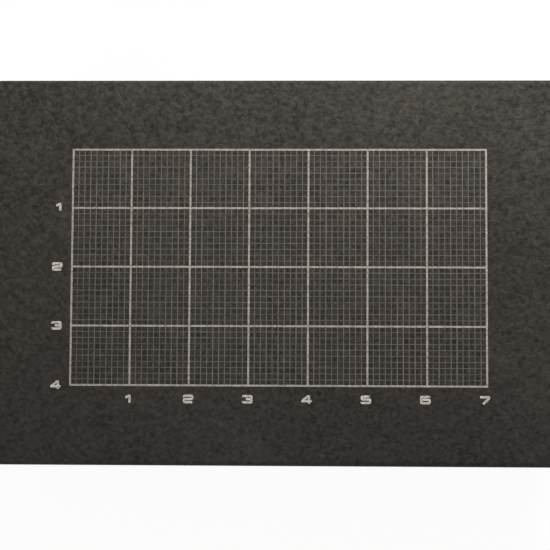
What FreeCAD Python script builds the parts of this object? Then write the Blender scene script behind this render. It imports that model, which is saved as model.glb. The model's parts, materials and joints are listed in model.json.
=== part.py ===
import FreeCAD, Part
import math
import os

# Portable tube tester in a folded steel carrying case, with its lid shut.
# X runs across the front, Y from the front to the hinge at the back, Z up, in millimetres.
# The origin lies under the middle of the case, on the plane that the feet stand on.

# Carrying case
INCH = 25.4
CASE_WIDTH = 10.0 * INCH
CASE_DEPTH = 6.55 * INCH
CASE_HEIGHT = 72.0
LID_HEIGHT = 30.0
SHEET = 1.2
CORNER_RADIUS = 6.0
BEND_RADIUS = 2.2
SEAM_GAP = 0.5
FOOT_HEIGHT = 6.0
FOOT_RADIUS = 9.5
VENT_COUNT = 7
VENT_WIDTH = 3.0

# Clearances
RUNNING_FIT = 0.05
HOLE_ROOM = 0.2
EASY_ROOM = 0.5
CUT_OVERRUN = 1.0

# Printed grid on the lid
GRID_SQUARE = 1.0 * INCH
GRID_COLUMNS = 7
GRID_ROWS = 4
GRID_LINE = 0.8
GRID_SHIFT = 1.715
PRINT_THICKNESS = 0.08

# Hinge along the back
HINGE_RADIUS = 2.4
HINGE_PIN_RADIUS = 1.2
HINGE_CUT = 4.0
HINGE_OUTSET = 0.3
KNUCKLE_COUNT = 13
KNUCKLE_GAP = 0.4
LEAF_THICKNESS = 1.0
LEAF_HEIGHT = 15.0

# Folding handle in the front wall
DISH_DEPTH = 14.0
DISH_SHEET = 1.0
DISH_FLANGE = 4.0
DISH_CORNER = 5.0
BAIL_RADIUS = 3.0
BAIL_REACH = 20.0
BAIL_BEND = 7.0

# Push-button catches in the front wall
CATCH_RADIUS = 6.0
CATCH_BEZEL_RADIUS = 8.0
CATCH_STEM_RADIUS = 2.0
CATCH_TRAVEL = 4.5
HOOK_SETBACK = 10.0
HOOK_SHEET = 1.5
HOOK_WIDTH = 12.0
HOOK_LIP = 3.8

# Control panel and the frame that carries it
PANEL_DROP = 4.0
PANEL_THICKNESS = 2.0
LEDGE_WIDTH = 11.0
LEDGE_THICKNESS = 1.2
LIP_THICKNESS = 1.0
LIP_GAP = 0.4
LIP_RISE = 3.0
SCREW_RADIUS = 1.6
SCREW_HEAD_RADIUS = 3.2
SCREW_HEAD_HEIGHT = 1.8

# Meter
METER_WIDTH = 84.0
METER_DEPTH = 66.0
METER_RISE = 11.0
METER_WALL = 1.6
METER_ROOM = 0.9
METER_CAN_RADIUS = 28.0
METER_CAN_DEPTH = 38.0
NEEDLE_LENGTH = 37.0
NEEDLE_ROOT = 1.8
NEEDLE_TIP = 0.5
NEEDLE_THICKNESS = 0.6
NEEDLE_REST_DEG = 135.0
ARBOR_RADIUS = 0.8
GLASS_THICKNESS = 1.5
DIAL_THICKNESS = 1.0
ZERO_SLOT = 0.9

# Sockets: pins, places round the circle, circle radius, pin hole radius, body radius, middle hole
OCTAL_COUNT = (8, 8)
TWELVE_PIN_COUNT = (12, 13)
NINE_PIN_COUNT = (9, 10)
SEVEN_PIN_COUNT = (7, 8)
OCTAL = (8.725, 1.35, 15.0, 4.2)
TWELVE_PIN = (9.525, 0.95, 15.0, 5.0)
NINE_PIN = (5.95, 0.95, 10.5, 2.2)
SEVEN_PIN = (4.76, 0.95, 9.0, 1.8)
KEYWAY_WIDTH = 2.2
KEYWAY_DEPTH = 1.4
SOCKET_RISE = 1.6
SOCKET_DEPTH = 10.0
SOCKET_FLANGE = 3.0
CONTACT_TAIL = 6.0
CONTACT_WALL = 0.3

# Rotary controls
KNOB_SKIRT_RADIUS = 15.0
KNOB_GRIP_RADIUS = 10.5
KNOB_HEIGHT = 16.0
KNOB_SKIRT_HEIGHT = 3.5
KNOB_LIFT = 0.6
KNOB_CROWN = 3.0
KNOB_EDGE = 1.0
KNOB_MARK_WIDTH = 1.0
KNOB_MARK_DEPTH = 0.5
KNOB_FLUTES = 18
KNOB_REST_DEG = 240.0
SHAFT_RADIUS = 3.175
BUSHING_RADIUS = 4.7
CONTROL_RADIUS = 14.0
CONTROL_DEPTH = 24.0
NUT_HEIGHT = 2.4
NUT_WALL = 2.4

# Lever switches
LEVER_COUNT = 5
LEVER_PITCH = 15.0
LEVER_TILT_DEG = 14.0
LEVER_PIVOT_DROP = 15.0
LEVER_STEM = 3.0
LEVER_LIFT = 1.2
LEVER_PADDLE = (8.0, 4.4, 12.0)
LEVER_FRAME_DEPTH = 26.0
LEVER_FRAME_SHEET = 1.5
LEVER_ROD_RADIUS = 1.5

# Push buttons
BUTTON_RADIUS = 5.5
BUTTON_RISE = 7.0
BUTTON_WALL = 1.5
BUTTON_TRAVEL = 3.0
BUTTON_BODY_RADIUS = 9.0
BUTTON_BODY_DEPTH = 22.0
SPRING_WIRE_RADIUS = 0.4
SPRING_TURNS = 4

# Power switch and pilot lamp
TOGGLE_TILT_DEG = 12.0
TOGGLE_LENGTH = 17.0
TOGGLE_BUSHING_RADIUS = 5.6
TOGGLE_BORE_RADIUS = 4.2
TOGGLE_PIN_RADIUS = 1.0
TOGGLE_BODY = (13.0, 27.0, 20.0)
JEWEL_RADIUS = 6.4
PILOT_RADIUS = 9.0
PILOT_DEPTH = 24.0

# Mains inlet in the back wall
INLET_SIZE = (26.0, 20.0, 18.0)
INLET_WALL = 2.0
INLET_PIN_RADIUS = 1.6
INLET_PIN_PITCH = 10.0

# Transformer and tag board on the floor of the case
CORE_WIDTH = 66.0
CORE_DEPTH = 55.0
CORE_LIMB = 11.0
BOARD_SIZE = (78.0, 46.0, 1.6)
BOARD_HEIGHT = 10.0
RESISTOR_COUNT = 6

# Heights and faces that follow from the sizes above
Z_FLOOR = FOOT_HEIGHT
Z_INSIDE = Z_FLOOR + SHEET
Z_RIM = Z_FLOOR + CASE_HEIGHT
Z_LID = Z_RIM + SEAM_GAP
Z_TOP = Z_LID + LID_HEIGHT
Z_PANEL = Z_RIM - PANEL_DROP
Z_UNDER = Z_PANEL - PANEL_THICKNESS
FRONT = -CASE_DEPTH / 2
BACK = CASE_DEPTH / 2
SIDE = CASE_WIDTH / 2
IN_FRONT = FRONT + SHEET
IN_BACK = BACK - SHEET
IN_SIDE = SIDE - SHEET
HINGE_Y = BACK + HINGE_OUTSET
HINGE_Z = Z_RIM + SEAM_GAP / 2
HINGE_LENGTH = 0.83 * CASE_WIDTH
PANEL_INSET = LIP_GAP + LIP_THICKNESS + EASY_ROOM

# Places, from the case and from the pieces that stand beside them
SCREW_X = IN_SIDE - 0.55 * LEDGE_WIDTH
PANEL_EDGE = SCREW_X - SCREW_HEAD_RADIUS
LEVER_FRAME_HALF = LEVER_PITCH * (LEVER_COUNT - 1) / 2 + 0.6 * LEVER_PITCH
LEFT_X = max(METER_ROOM - PANEL_EDGE + METER_WIDTH / 2,
             LEDGE_WIDTH - IN_SIDE + LEVER_FRAME_HALF + 4 * EASY_ROOM)
COLUMN_EDGE = LEFT_X + METER_WIDTH / 2
COLUMN_SPAN = PANEL_EDGE - COLUMN_EDGE
INNER_X = COLUMN_EDGE + 0.20 * COLUMN_SPAN
MIDDLE_X = COLUMN_EDGE + 0.515 * COLUMN_SPAN
OUTER_X = COLUMN_EDGE + 0.86 * COLUMN_SPAN
METER_Y = 0.22 * CASE_DEPTH
NEEDLE_Y = METER_Y - 0.29 * METER_DEPTH
LEVER_Y = -0.11 * CASE_DEPTH
BUTTON_SPREAD = 0.095 * CASE_WIDTH
SOCKET_BACK_Y = 0.315 * CASE_DEPTH
SOCKET_FRONT_Y = 0.05 * CASE_DEPTH
TOGGLE_Y = 0.06 * CASE_DEPTH
PILOT_Y = 0.30 * CASE_DEPTH
SCREW_YS = (-0.39 * CASE_DEPTH, 0.0, 0.39 * CASE_DEPTH)
CATCH_X = 0.30 * CASE_WIDTH
CATCH_Z = Z_UNDER - LEDGE_THICKNESS - EASY_ROOM - CATCH_BEZEL_RADIUS - LIP_THICKNESS
HOOK_Y = (FRONT + HOOK_SETBACK, FRONT + HOOK_SETBACK + HOOK_SHEET)
LIP_Y = (HOOK_Y[1], HOOK_Y[1] + HOOK_LIP)
LIP_Z = (CATCH_Z - CATCH_STEM_RADIUS - HOOK_SHEET - HOLE_ROOM, CATCH_Z - CATCH_STEM_RADIUS - HOLE_ROOM)
BOLT_Y = (LIP_Y[0] + 2 * HOLE_ROOM, LIP_Y[1] + HOLE_ROOM)
GUIDE_Y = BOLT_Y[1] + CATCH_TRAVEL + CATCH_RADIUS
GUIDE_HALF = CATCH_BEZEL_RADIUS + 2 * LIP_THICKNESS + EASY_ROOM
HOOK_NOTCH_Y = BOLT_Y[1] + 2 * EASY_ROOM
KNOB_Y = GUIDE_Y + SHEET + EASY_ROOM + CONTROL_RADIUS
BUTTON_Y = GUIDE_Y + SHEET + EASY_ROOM + BUTTON_BODY_RADIUS
DISH_WIDTH = 0.44 * CASE_WIDTH
DISH_HEIGHT = 0.5 * CASE_HEIGHT
DISH_Z = Z_FLOOR + 0.46 * CASE_HEIGHT
BAIL_Y = FRONT + 0.45 * DISH_DEPTH
BAIL_Z = DISH_Z + DISH_HEIGHT / 2 - 2.3 * BAIL_RADIUS
BAIL_HALF = DISH_WIDTH / 2 - 2.6 * BAIL_RADIUS
INLET_Z = Z_FLOOR + 0.31 * CASE_HEIGHT
FOOT_X = 0.425 * CASE_WIDTH
FOOT_Y = 0.39 * CASE_DEPTH
CORE_X = (INNER_X + MIDDLE_X) / 2
CORE_Y = (SOCKET_BACK_Y + SOCKET_FRONT_Y) / 2
CORE_STACK = 0.33 * CASE_HEIGHT
COIL_OVERHANG = 0.11 * CASE_HEIGHT
CORE_Z = Z_INSIDE + COIL_OVERHANG + 2 * EASY_ROOM
BOARD_X = LEFT_X
BOARD_Y = LEVER_Y
LEVER_PIVOT_Z = Z_UNDER - LEVER_PIVOT_DROP
LEVER_XS = [LEFT_X + (i - (LEVER_COUNT - 1) / 2) * LEVER_PITCH for i in range(LEVER_COUNT)]
TOGGLE_PIVOT_Z = Z_PANEL + EASY_ROOM


def span(centre, size):
    return (centre - size / 2, centre + size / 2)


def box(x, y, z):
    corner = FreeCAD.Vector(x[0], y[0], z[0])
    return Part.makeBox(x[1] - x[0], y[1] - y[0], z[1] - z[0], corner)


def rod(radius, start, end):
    start = FreeCAD.Vector(*start)
    way = FreeCAD.Vector(*end) - start
    return Part.makeCylinder(radius, way.Length, start, way)


def post(radius, x, y, low, high):
    return rod(radius, (x, y, low), (x, y, high))


def edges_along(shape, axis):
    found = []
    for edge in shape.Edges:
        step = edge.Vertexes[-1].Point - edge.Vertexes[0].Point
        if step.Length > 0 and abs(abs(step.dot(axis)) / step.Length - 1) < 1e-6:
            found.append(edge)
    return found


def edges_at_height(shape, height):
    return [edge for edge in shape.Edges
            if abs(edge.BoundBox.ZMin - height) < 1e-6 and abs(edge.BoundBox.ZMax - height) < 1e-6]


def rounded_block(x, y, z, radius, axis=(0, 0, 1)):
    block = box(x, y, z)
    return block.makeFillet(radius, edges_along(block, FreeCAD.Vector(*axis)))


def hexagon_nut(hole_radius, x, y, low, high):
    corner_radius = (hole_radius + NUT_WALL) / math.cos(math.pi / 6)
    corners = [FreeCAD.Vector(x + corner_radius * math.cos(i * math.pi / 3),
                              y + corner_radius * math.sin(i * math.pi / 3), low) for i in range(7)]
    prism = Part.Face(Part.makePolygon(corners)).extrude(FreeCAD.Vector(0, 0, high - low))
    return prism.cut(post(hole_radius, x, y, low, high))


def bent_rod(points, bend, radius):
    points = [FreeCAD.Vector(*point) for point in points]
    edges = []
    start = points[0]
    for before, corner, after in zip(points, points[1:], points[2:]):
        way_in = (corner - before).normalize()
        way_out = (after - corner).normalize()
        first = corner - way_in * bend
        last = corner + way_out * bend
        centre = first + way_out * bend
        middle = centre + (corner - centre).normalize() * bend
        edges.append(Part.makeLine(start, first))
        edges.append(Part.Arc(first, middle, last).toShape())
        start = last
    edges.append(Part.makeLine(start, points[-1]))
    section = Part.Wire(Part.makeCircle(radius, points[0], points[1] - points[0]))
    return Part.Wire(edges).makePipeShell([section], True, False)


def sheet_pan(closed, rim):
    """A folded pan with its flat face at height closed and its open rim at height rim."""
    inner_closed = closed + (SHEET if rim > closed else -SHEET)
    outer = rounded_block(span(0, CASE_WIDTH), span(0, CASE_DEPTH), sorted((closed, rim)), CORNER_RADIUS)
    outer = outer.makeFillet(BEND_RADIUS, edges_at_height(outer, closed))
    inner = rounded_block(span(0, 2 * IN_SIDE), (IN_FRONT, IN_BACK), sorted((inner_closed, rim)),
                          CORNER_RADIUS - SHEET)
    inner = inner.makeFillet(BEND_RADIUS - SHEET, edges_at_height(inner, inner_closed))
    return outer.cut(inner)


def case_pan():
    pan = sheet_pan(Z_FLOOR, Z_RIM)
    front_wall = (FRONT - CUT_OVERRUN, IN_FRONT + CUT_OVERRUN)
    back_wall = (IN_BACK - CUT_OVERRUN, BACK + CUT_OVERRUN)
    openings = [
        box(span(0, HINGE_LENGTH + 2 * EASY_ROOM), back_wall, (HINGE_Z - HINGE_CUT, Z_RIM + CUT_OVERRUN)),
        rounded_block(span(0, DISH_WIDTH), front_wall, span(DISH_Z, DISH_HEIGHT), DISH_CORNER, (0, 1, 0)),
        box(span(OUTER_X, INLET_SIZE[0] + HOLE_ROOM), back_wall, span(INLET_Z, INLET_SIZE[2] + HOLE_ROOM)),
    ]
    for x in (-CATCH_X, CATCH_X):
        openings.append(rod(CATCH_BEZEL_RADIUS + RUNNING_FIT,
                            (x, front_wall[0], CATCH_Z), (x, front_wall[1], CATCH_Z)))
    for x in (-FOOT_X, FOOT_X):
        for y in (-FOOT_Y, FOOT_Y):
            openings.append(post(foot_stem_radius() + RUNNING_FIT, x, y,
                                 Z_FLOOR - CUT_OVERRUN, Z_INSIDE + CUT_OVERRUN))
    vent_pitch = 0.5 * CASE_DEPTH / VENT_COUNT
    for side in (-1, 1):
        wall = sorted((side * (IN_SIDE - CUT_OVERRUN), side * (SIDE + CUT_OVERRUN)))
        for i in range(VENT_COUNT):
            y = (i - (VENT_COUNT - 1) / 2) * vent_pitch
            openings.append(rounded_block(wall, span(y, VENT_WIDTH), span(DISH_Z, 0.4 * CASE_HEIGHT),
                                          0.45 * VENT_WIDTH, (1, 0, 0)))
    return pan.cut(openings)


def foot_stem_radius():
    return 0.32 * FOOT_RADIUS


def rubber_feet():
    feet = []
    head_radius = 1.5 * foot_stem_radius()
    for x in (-FOOT_X, FOOT_X):
        for y in (-FOOT_Y, FOOT_Y):
            pad = Part.makeCone(0.85 * FOOT_RADIUS, FOOT_RADIUS, FOOT_HEIGHT, FreeCAD.Vector(x, y, 0))
            stem = post(foot_stem_radius(), x, y, Z_FLOOR, Z_INSIDE)
            head = post(head_radius, x, y, Z_INSIDE, Z_INSIDE + 2 * SHEET)
            feet.append(pad.fuse([stem, head]))
    return feet


def lid_shell():
    lid = sheet_pan(Z_TOP, Z_LID)
    return lid.cut(box(span(0, HINGE_LENGTH + 2 * EASY_ROOM), (IN_BACK - CUT_OVERRUN, BACK + CUT_OVERRUN),
                       (Z_LID - CUT_OVERRUN, HINGE_Z + HINGE_CUT)))


def grid_print():
    width = GRID_COLUMNS * GRID_SQUARE
    depth = GRID_ROWS * GRID_SQUARE
    ink = (Z_TOP, Z_TOP + PRINT_THICKNESS)
    lines = box(span(0, width + GRID_LINE), span(GRID_SHIFT, depth + GRID_LINE), ink)
    windows = []
    for column in range(GRID_COLUMNS):
        for row in range(GRID_ROWS):
            x = (column + 0.5) * GRID_SQUARE - width / 2
            y = (row + 0.5) * GRID_SQUARE - depth / 2 + GRID_SHIFT
            windows.append(box(span(x, GRID_SQUARE - GRID_LINE), span(y, GRID_SQUARE - GRID_LINE), ink))
    return lines.cut(windows)


def hinge_leaf(side):
    """Leaf with its knuckles: side is -1 for the leaf on the case and 1 for the one on the lid."""
    pitch = HINGE_LENGTH / KNUCKLE_COUNT
    plate_y = (IN_BACK - LEAF_THICKNESS, IN_BACK)
    near = HINGE_Z + side * (HINGE_RADIUS + EASY_ROOM)
    far = near + side * LEAF_HEIGHT
    leaf = box(span(0, HINGE_LENGTH), plate_y, sorted((near, far)))
    additions = []
    for i in range(KNUCKLE_COUNT):
        if (i % 2 == 0) == (side < 0):
            x = span((i - (KNUCKLE_COUNT - 1) / 2) * pitch, pitch - KNUCKLE_GAP)
            additions.append(rod(HINGE_RADIUS, (x[0], HINGE_Y, HINGE_Z), (x[1], HINGE_Y, HINGE_Z)))
            additions.append(box(x, plate_y, sorted((HINGE_Z, near))))
    leaf = leaf.fuse(additions)
    bore = rod(HINGE_PIN_RADIUS + RUNNING_FIT, (-HINGE_LENGTH, HINGE_Y, HINGE_Z),
               (HINGE_LENGTH, HINGE_Y, HINGE_Z))
    return leaf.cut(bore).removeSplitter()


def hinge_pin():
    end = HINGE_LENGTH / 2 - KNUCKLE_GAP / 2
    pin = rod(HINGE_PIN_RADIUS, (-end, HINGE_Y, HINGE_Z), (end, HINGE_Y, HINGE_Z))
    heads = [rod(0.8 * HINGE_RADIUS, (end, HINGE_Y, HINGE_Z), (end + EASY_ROOM, HINGE_Y, HINGE_Z)),
             rod(0.8 * HINGE_RADIUS, (-end - EASY_ROOM, HINGE_Y, HINGE_Z), (-end, HINGE_Y, HINGE_Z))]
    return pin.fuse(heads)


def handle_dish():
    """Pressed dish behind the front wall, with ears that hold the ends of the bail."""
    inside_x = span(0, DISH_WIDTH)
    inside_z = span(DISH_Z, DISH_HEIGHT)
    grow = 2 * DISH_SHEET
    outer = rounded_block(span(0, DISH_WIDTH + grow), (IN_FRONT, FRONT + DISH_DEPTH + DISH_SHEET),
                          span(DISH_Z, DISH_HEIGHT + grow), DISH_CORNER + DISH_SHEET, (0, 1, 0))
    flange = rounded_block(span(0, DISH_WIDTH + grow + 2 * DISH_FLANGE), (IN_FRONT, IN_FRONT + DISH_SHEET),
                           span(DISH_Z, DISH_HEIGHT + grow + 2 * DISH_FLANGE),
                           DISH_CORNER + DISH_SHEET + DISH_FLANGE, (0, 1, 0))
    hollow = rounded_block(inside_x, (FRONT, FRONT + DISH_DEPTH), inside_z, DISH_CORNER, (0, 1, 0))
    reach = DISH_WIDTH / 2 + DISH_SHEET + CUT_OVERRUN
    pivot = rod(BAIL_RADIUS + RUNNING_FIT, (-reach, BAIL_Y, BAIL_Z), (reach, BAIL_Y, BAIL_Z))
    return outer.fuse(flange).cut([hollow, pivot])


def handle_bail():
    end = DISH_WIDTH / 2 + DISH_SHEET
    low = BAIL_Z - BAIL_REACH
    return bent_rod([(-end, BAIL_Y, BAIL_Z), (-BAIL_HALF, BAIL_Y, BAIL_Z), (-BAIL_HALF, BAIL_Y, low),
                     (BAIL_HALF, BAIL_Y, low), (BAIL_HALF, BAIL_Y, BAIL_Z), (end, BAIL_Y, BAIL_Z)],
                    BAIL_BEND, BAIL_RADIUS)


def catch_bezel(x):
    sleeve = rod(CATCH_BEZEL_RADIUS, (x, FRONT, CATCH_Z), (x, IN_FRONT, CATCH_Z))
    flange = rod(CATCH_BEZEL_RADIUS + LIP_THICKNESS, (x, IN_FRONT, CATCH_Z),
                 (x, IN_FRONT + LIP_THICKNESS, CATCH_Z))
    bore = rod(CATCH_RADIUS + HOLE_ROOM, (x, FRONT, CATCH_Z), (x, IN_FRONT + CUT_OVERRUN, CATCH_Z))
    return sleeve.fuse(flange).cut(bore)


def catch_button(x):
    face = FRONT + EASY_ROOM
    head_back = HOOK_Y[0] - CATCH_TRAVEL - 2 * EASY_ROOM
    head = rod(CATCH_RADIUS, (x, face, CATCH_Z), (x, head_back, CATCH_Z))
    stem = rod(CATCH_STEM_RADIUS, (x, head_back, CATCH_Z), (x, GUIDE_Y + CATCH_RADIUS, CATCH_Z))
    bolt = box(span(x, HOOK_WIDTH), BOLT_Y, span(CATCH_Z, 2 * CATCH_STEM_RADIUS))
    return head.fuse([stem, bolt])


def catch_guide(x):
    height = span(CATCH_Z, 2 * CATCH_RADIUS)
    cheeks = [box((x - GUIDE_HALF, x - GUIDE_HALF + SHEET), (IN_FRONT, GUIDE_Y), height),
              box((x + GUIDE_HALF - SHEET, x + GUIDE_HALF), (IN_FRONT, GUIDE_Y), height)]
    plate = box(span(x, 2 * GUIDE_HALF), (GUIDE_Y, GUIDE_Y + SHEET), height)
    bore = rod(CATCH_STEM_RADIUS + RUNNING_FIT, (x, GUIDE_Y - CUT_OVERRUN, CATCH_Z),
               (x, GUIDE_Y + SHEET + CUT_OVERRUN, CATCH_Z))
    return plate.fuse(cheeks).cut(bore)


def lid_hook(x):
    """Fork under the lid: its slot straddles the catch's stem and its lips lie under the bolt."""
    block_low = Z_RIM + LIP_RISE + 2 * CUT_OVERRUN
    block_high = Z_TOP - SHEET - BEND_RADIUS
    block = box(span(x, HOOK_WIDTH), (IN_FRONT, HOOK_Y[1]), (block_low, block_high))
    plate = box(span(x, HOOK_WIDTH), HOOK_Y, (LIP_Z[0], block_low))
    lip = box(span(x, HOOK_WIDTH), LIP_Y, LIP_Z)
    slot = box(span(x, 2 * (CATCH_STEM_RADIUS + EASY_ROOM)),
               (HOOK_Y[0] - CUT_OVERRUN, LIP_Y[1] + CUT_OVERRUN),
               (LIP_Z[0] - CUT_OVERRUN, CATCH_Z + CATCH_STEM_RADIUS + 2 * EASY_ROOM))
    return block.fuse([plate, lip]).cut(slot)


def hook_notch(x, z):
    return box(span(x, HOOK_WIDTH + 4 * EASY_ROOM), (IN_FRONT + LIP_GAP + LIP_THICKNESS, HOOK_NOTCH_Y), z)


def mains_inlet():
    deep = BACK - INLET_SIZE[1]
    cup = box(span(OUTER_X, INLET_SIZE[0]), (deep, BACK), span(INLET_Z, INLET_SIZE[2]))
    flange = box(span(OUTER_X, INLET_SIZE[0] + 4 * INLET_WALL), (IN_BACK - INLET_WALL, IN_BACK),
                 span(INLET_Z, INLET_SIZE[2] + 4 * INLET_WALL))
    hollow = box(span(OUTER_X, INLET_SIZE[0] - 2 * INLET_WALL), (deep + INLET_WALL, BACK),
                 span(INLET_Z, INLET_SIZE[2] - 2 * INLET_WALL))
    holes = [rod(INLET_PIN_RADIUS + RUNNING_FIT, (x, deep, INLET_Z), (x, deep + INLET_WALL, INLET_Z))
             for x in span(OUTER_X, INLET_PIN_PITCH)]
    return cup.fuse(flange).cut([hollow] + holes)


def inlet_pins():
    floor = BACK - INLET_SIZE[1] + INLET_WALL
    pins = []
    for x in span(OUTER_X, INLET_PIN_PITCH):
        pin = rod(INLET_PIN_RADIUS, (x, floor - 3 * INLET_WALL, INLET_Z), (x, BACK - 2 * INLET_WALL, INLET_Z))
        collar = rod(1.5 * INLET_PIN_RADIUS, (x, floor, INLET_Z), (x, floor + INLET_WALL / 2, INLET_Z))
        pins.append(pin.fuse(collar))
    return pins


def panel_frame():
    """Ledge round the inside of the case, with a lip that stands up into the lid on three sides."""
    ledge_z = (Z_UNDER - LEDGE_THICKNESS, Z_UNDER)
    ring = rounded_block(span(0, 2 * IN_SIDE), (IN_FRONT, IN_BACK), ledge_z, CORNER_RADIUS - SHEET)
    window = box(span(0, 2 * (IN_SIDE - LEDGE_WIDTH)), (IN_FRONT + LEDGE_WIDTH, IN_BACK - LEDGE_WIDTH),
                 ledge_z)
    leaf_room = box(span(0, HINGE_LENGTH + EASY_ROOM),
                    (IN_BACK - LEAF_THICKNESS - HOLE_ROOM, IN_BACK + CUT_OVERRUN), ledge_z)
    lip_z = (ledge_z[0], Z_RIM + LIP_RISE)
    lip_in = (LIP_GAP, LIP_GAP + LIP_THICKNESS)
    lip_half = IN_SIDE - CORNER_RADIUS
    lips = [box(span(0, 2 * lip_half), (IN_FRONT + lip_in[0], IN_FRONT + lip_in[1]), lip_z)]
    lip_y = (FRONT + CORNER_RADIUS, BACK - LEDGE_WIDTH - CORNER_RADIUS)
    lips.append(box((IN_SIDE - lip_in[1], IN_SIDE - lip_in[0]), lip_y, lip_z))
    lips.append(box((lip_in[0] - IN_SIDE, lip_in[1] - IN_SIDE), lip_y, lip_z))
    holes = [post(SCREW_RADIUS + RUNNING_FIT, x, y, ledge_z[0], ledge_z[1])
             for x in (-SCREW_X, SCREW_X) for y in SCREW_YS]
    notches = [hook_notch(x, ledge_z) for x in (-CATCH_X, CATCH_X)]
    return ring.cut([window, leaf_room]).fuse(lips).cut(holes + notches)


SOCKETS = {
    "octal_socket": (OCTAL_COUNT, OCTAL, INNER_X, SOCKET_BACK_Y),
    "twelve_pin_socket": (TWELVE_PIN_COUNT, TWELVE_PIN, MIDDLE_X, SOCKET_BACK_Y),
    "nine_pin_socket": (NINE_PIN_COUNT, NINE_PIN, INNER_X, SOCKET_FRONT_Y),
    "seven_pin_socket": (SEVEN_PIN_COUNT, SEVEN_PIN, MIDDLE_X, SOCKET_FRONT_Y),
}
KNOB_XS = {"filament": INNER_X, "load": MIDDLE_X, "bias": OUTER_X}
BUTTON_XS = {"test": LEFT_X - BUTTON_SPREAD, "leakage": LEFT_X + BUTTON_SPREAD}
BUSHING_TOP = Z_PANEL + NUT_HEIGHT
BUTTON_BUSHING_RADIUS = BUTTON_RADIUS + BUTTON_WALL
PILOT_BUSHING_RADIUS = JEWEL_RADIUS + EASY_ROOM


def control_panel():
    plate = rounded_block(span(0, 2 * (IN_SIDE - PANEL_INSET)),
                          (IN_FRONT + PANEL_INSET, IN_BACK - LEAF_THICKNESS - EASY_ROOM),
                          (Z_UNDER, Z_PANEL), CORNER_RADIUS / 2)
    rounds = [(METER_CAN_RADIUS, LEFT_X, METER_Y), (TOGGLE_BUSHING_RADIUS, OUTER_X, TOGGLE_Y),
              (PILOT_BUSHING_RADIUS, OUTER_X, PILOT_Y)]
    rounds += [(sizes[2], x, y) for counts, sizes, x, y in SOCKETS.values()]
    rounds += [(BUSHING_RADIUS, x, KNOB_Y) for x in KNOB_XS.values()]
    rounds += [(BUTTON_BUSHING_RADIUS, x, BUTTON_Y) for x in BUTTON_XS.values()]
    rounds += [(SCREW_RADIUS, x, y) for x in (-SCREW_X, SCREW_X) for y in SCREW_YS]
    holes = [post(radius + HOLE_ROOM, x, y, Z_UNDER, Z_PANEL) for radius, x, y in rounds]
    sweep = (LEVER_PIVOT_DROP + PANEL_THICKNESS) * math.tan(math.radians(LEVER_TILT_DEG))
    slot_length = 2 * sweep + LEVER_STEM + 4 * EASY_ROOM
    slots = [box(span(x, LEVER_STEM + 2 * EASY_ROOM), span(LEVER_Y, slot_length), (Z_UNDER, Z_PANEL))
             for x in LEVER_XS]
    notches = [hook_notch(x, (Z_UNDER, Z_PANEL)) for x in (-CATCH_X, CATCH_X)]
    return plate.cut(holes + slots + notches)


def panel_screws():
    screws = []
    for x in (-SCREW_X, SCREW_X):
        for y in SCREW_YS:
            shank = post(SCREW_RADIUS, x, y, Z_UNDER - LEDGE_THICKNESS - SCREW_RADIUS, Z_PANEL)
            head = post(SCREW_HEAD_RADIUS, x, y, Z_PANEL, Z_PANEL + SCREW_HEAD_HEIGHT)
            top = edges_at_height(head, Z_PANEL + SCREW_HEAD_HEIGHT)
            head = head.makeFillet(0.6 * SCREW_HEAD_HEIGHT, top)
            slot = box(span(x, 0.25 * SCREW_HEAD_RADIUS), span(y, 3 * SCREW_HEAD_RADIUS),
                       (Z_PANEL + 0.5 * SCREW_HEAD_HEIGHT, Z_PANEL + 2 * SCREW_HEAD_HEIGHT))
            screws.append(shank.fuse(head).cut(slot))
    return screws


def panel_nuts():
    nuts = [hexagon_nut(BUSHING_RADIUS + RUNNING_FIT, x, KNOB_Y, Z_PANEL, BUSHING_TOP)
            for x in KNOB_XS.values()]
    nuts += [hexagon_nut(BUTTON_BUSHING_RADIUS + RUNNING_FIT, x, BUTTON_Y, Z_PANEL, BUSHING_TOP)
             for x in BUTTON_XS.values()]
    nuts.append(hexagon_nut(TOGGLE_BUSHING_RADIUS + RUNNING_FIT, OUTER_X, TOGGLE_Y, Z_PANEL, BUSHING_TOP))
    return nuts


METER_TOP = Z_PANEL + METER_RISE
METER_ROOF = METER_TOP - METER_WALL
WINDOW_X = span(LEFT_X, METER_WIDTH - 10 * METER_WALL)
WINDOW_Y = (METER_Y - 0.13 * METER_DEPTH, METER_Y + METER_DEPTH / 2 - 4 * METER_WALL)
ZERO_RADIUS = 0.055 * METER_DEPTH
NEEDLE_Z = Z_PANEL + 0.3 * METER_RISE


def meter_bezel():
    outer = rounded_block(span(LEFT_X, METER_WIDTH), span(METER_Y, METER_DEPTH), (Z_PANEL, METER_TOP),
                          2.5 * METER_WALL)
    outer = outer.makeFillet(0.75 * METER_WALL, edges_at_height(outer, METER_TOP))
    hollow = box(span(LEFT_X, METER_WIDTH - 2 * METER_WALL), span(METER_Y, METER_DEPTH - 2 * METER_WALL),
                 (Z_PANEL, METER_ROOF))
    hollow = hollow.makeFillet(1.5 * METER_WALL, edges_along(hollow, FreeCAD.Vector(0, 0, 1)))
    window = rounded_block(WINDOW_X, WINDOW_Y, (METER_ROOF, METER_TOP), METER_WALL)
    zero_hole = post(ZERO_RADIUS + RUNNING_FIT, LEFT_X, NEEDLE_Y, METER_ROOF, METER_TOP)
    return outer.cut([hollow, window, zero_hole])


def meter_window():
    grow = METER_WALL
    return box((WINDOW_X[0] - grow, WINDOW_X[1] + grow), (WINDOW_Y[0] - grow, WINDOW_Y[1] + grow),
               (METER_ROOF - GLASS_THICKNESS, METER_ROOF))


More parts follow.
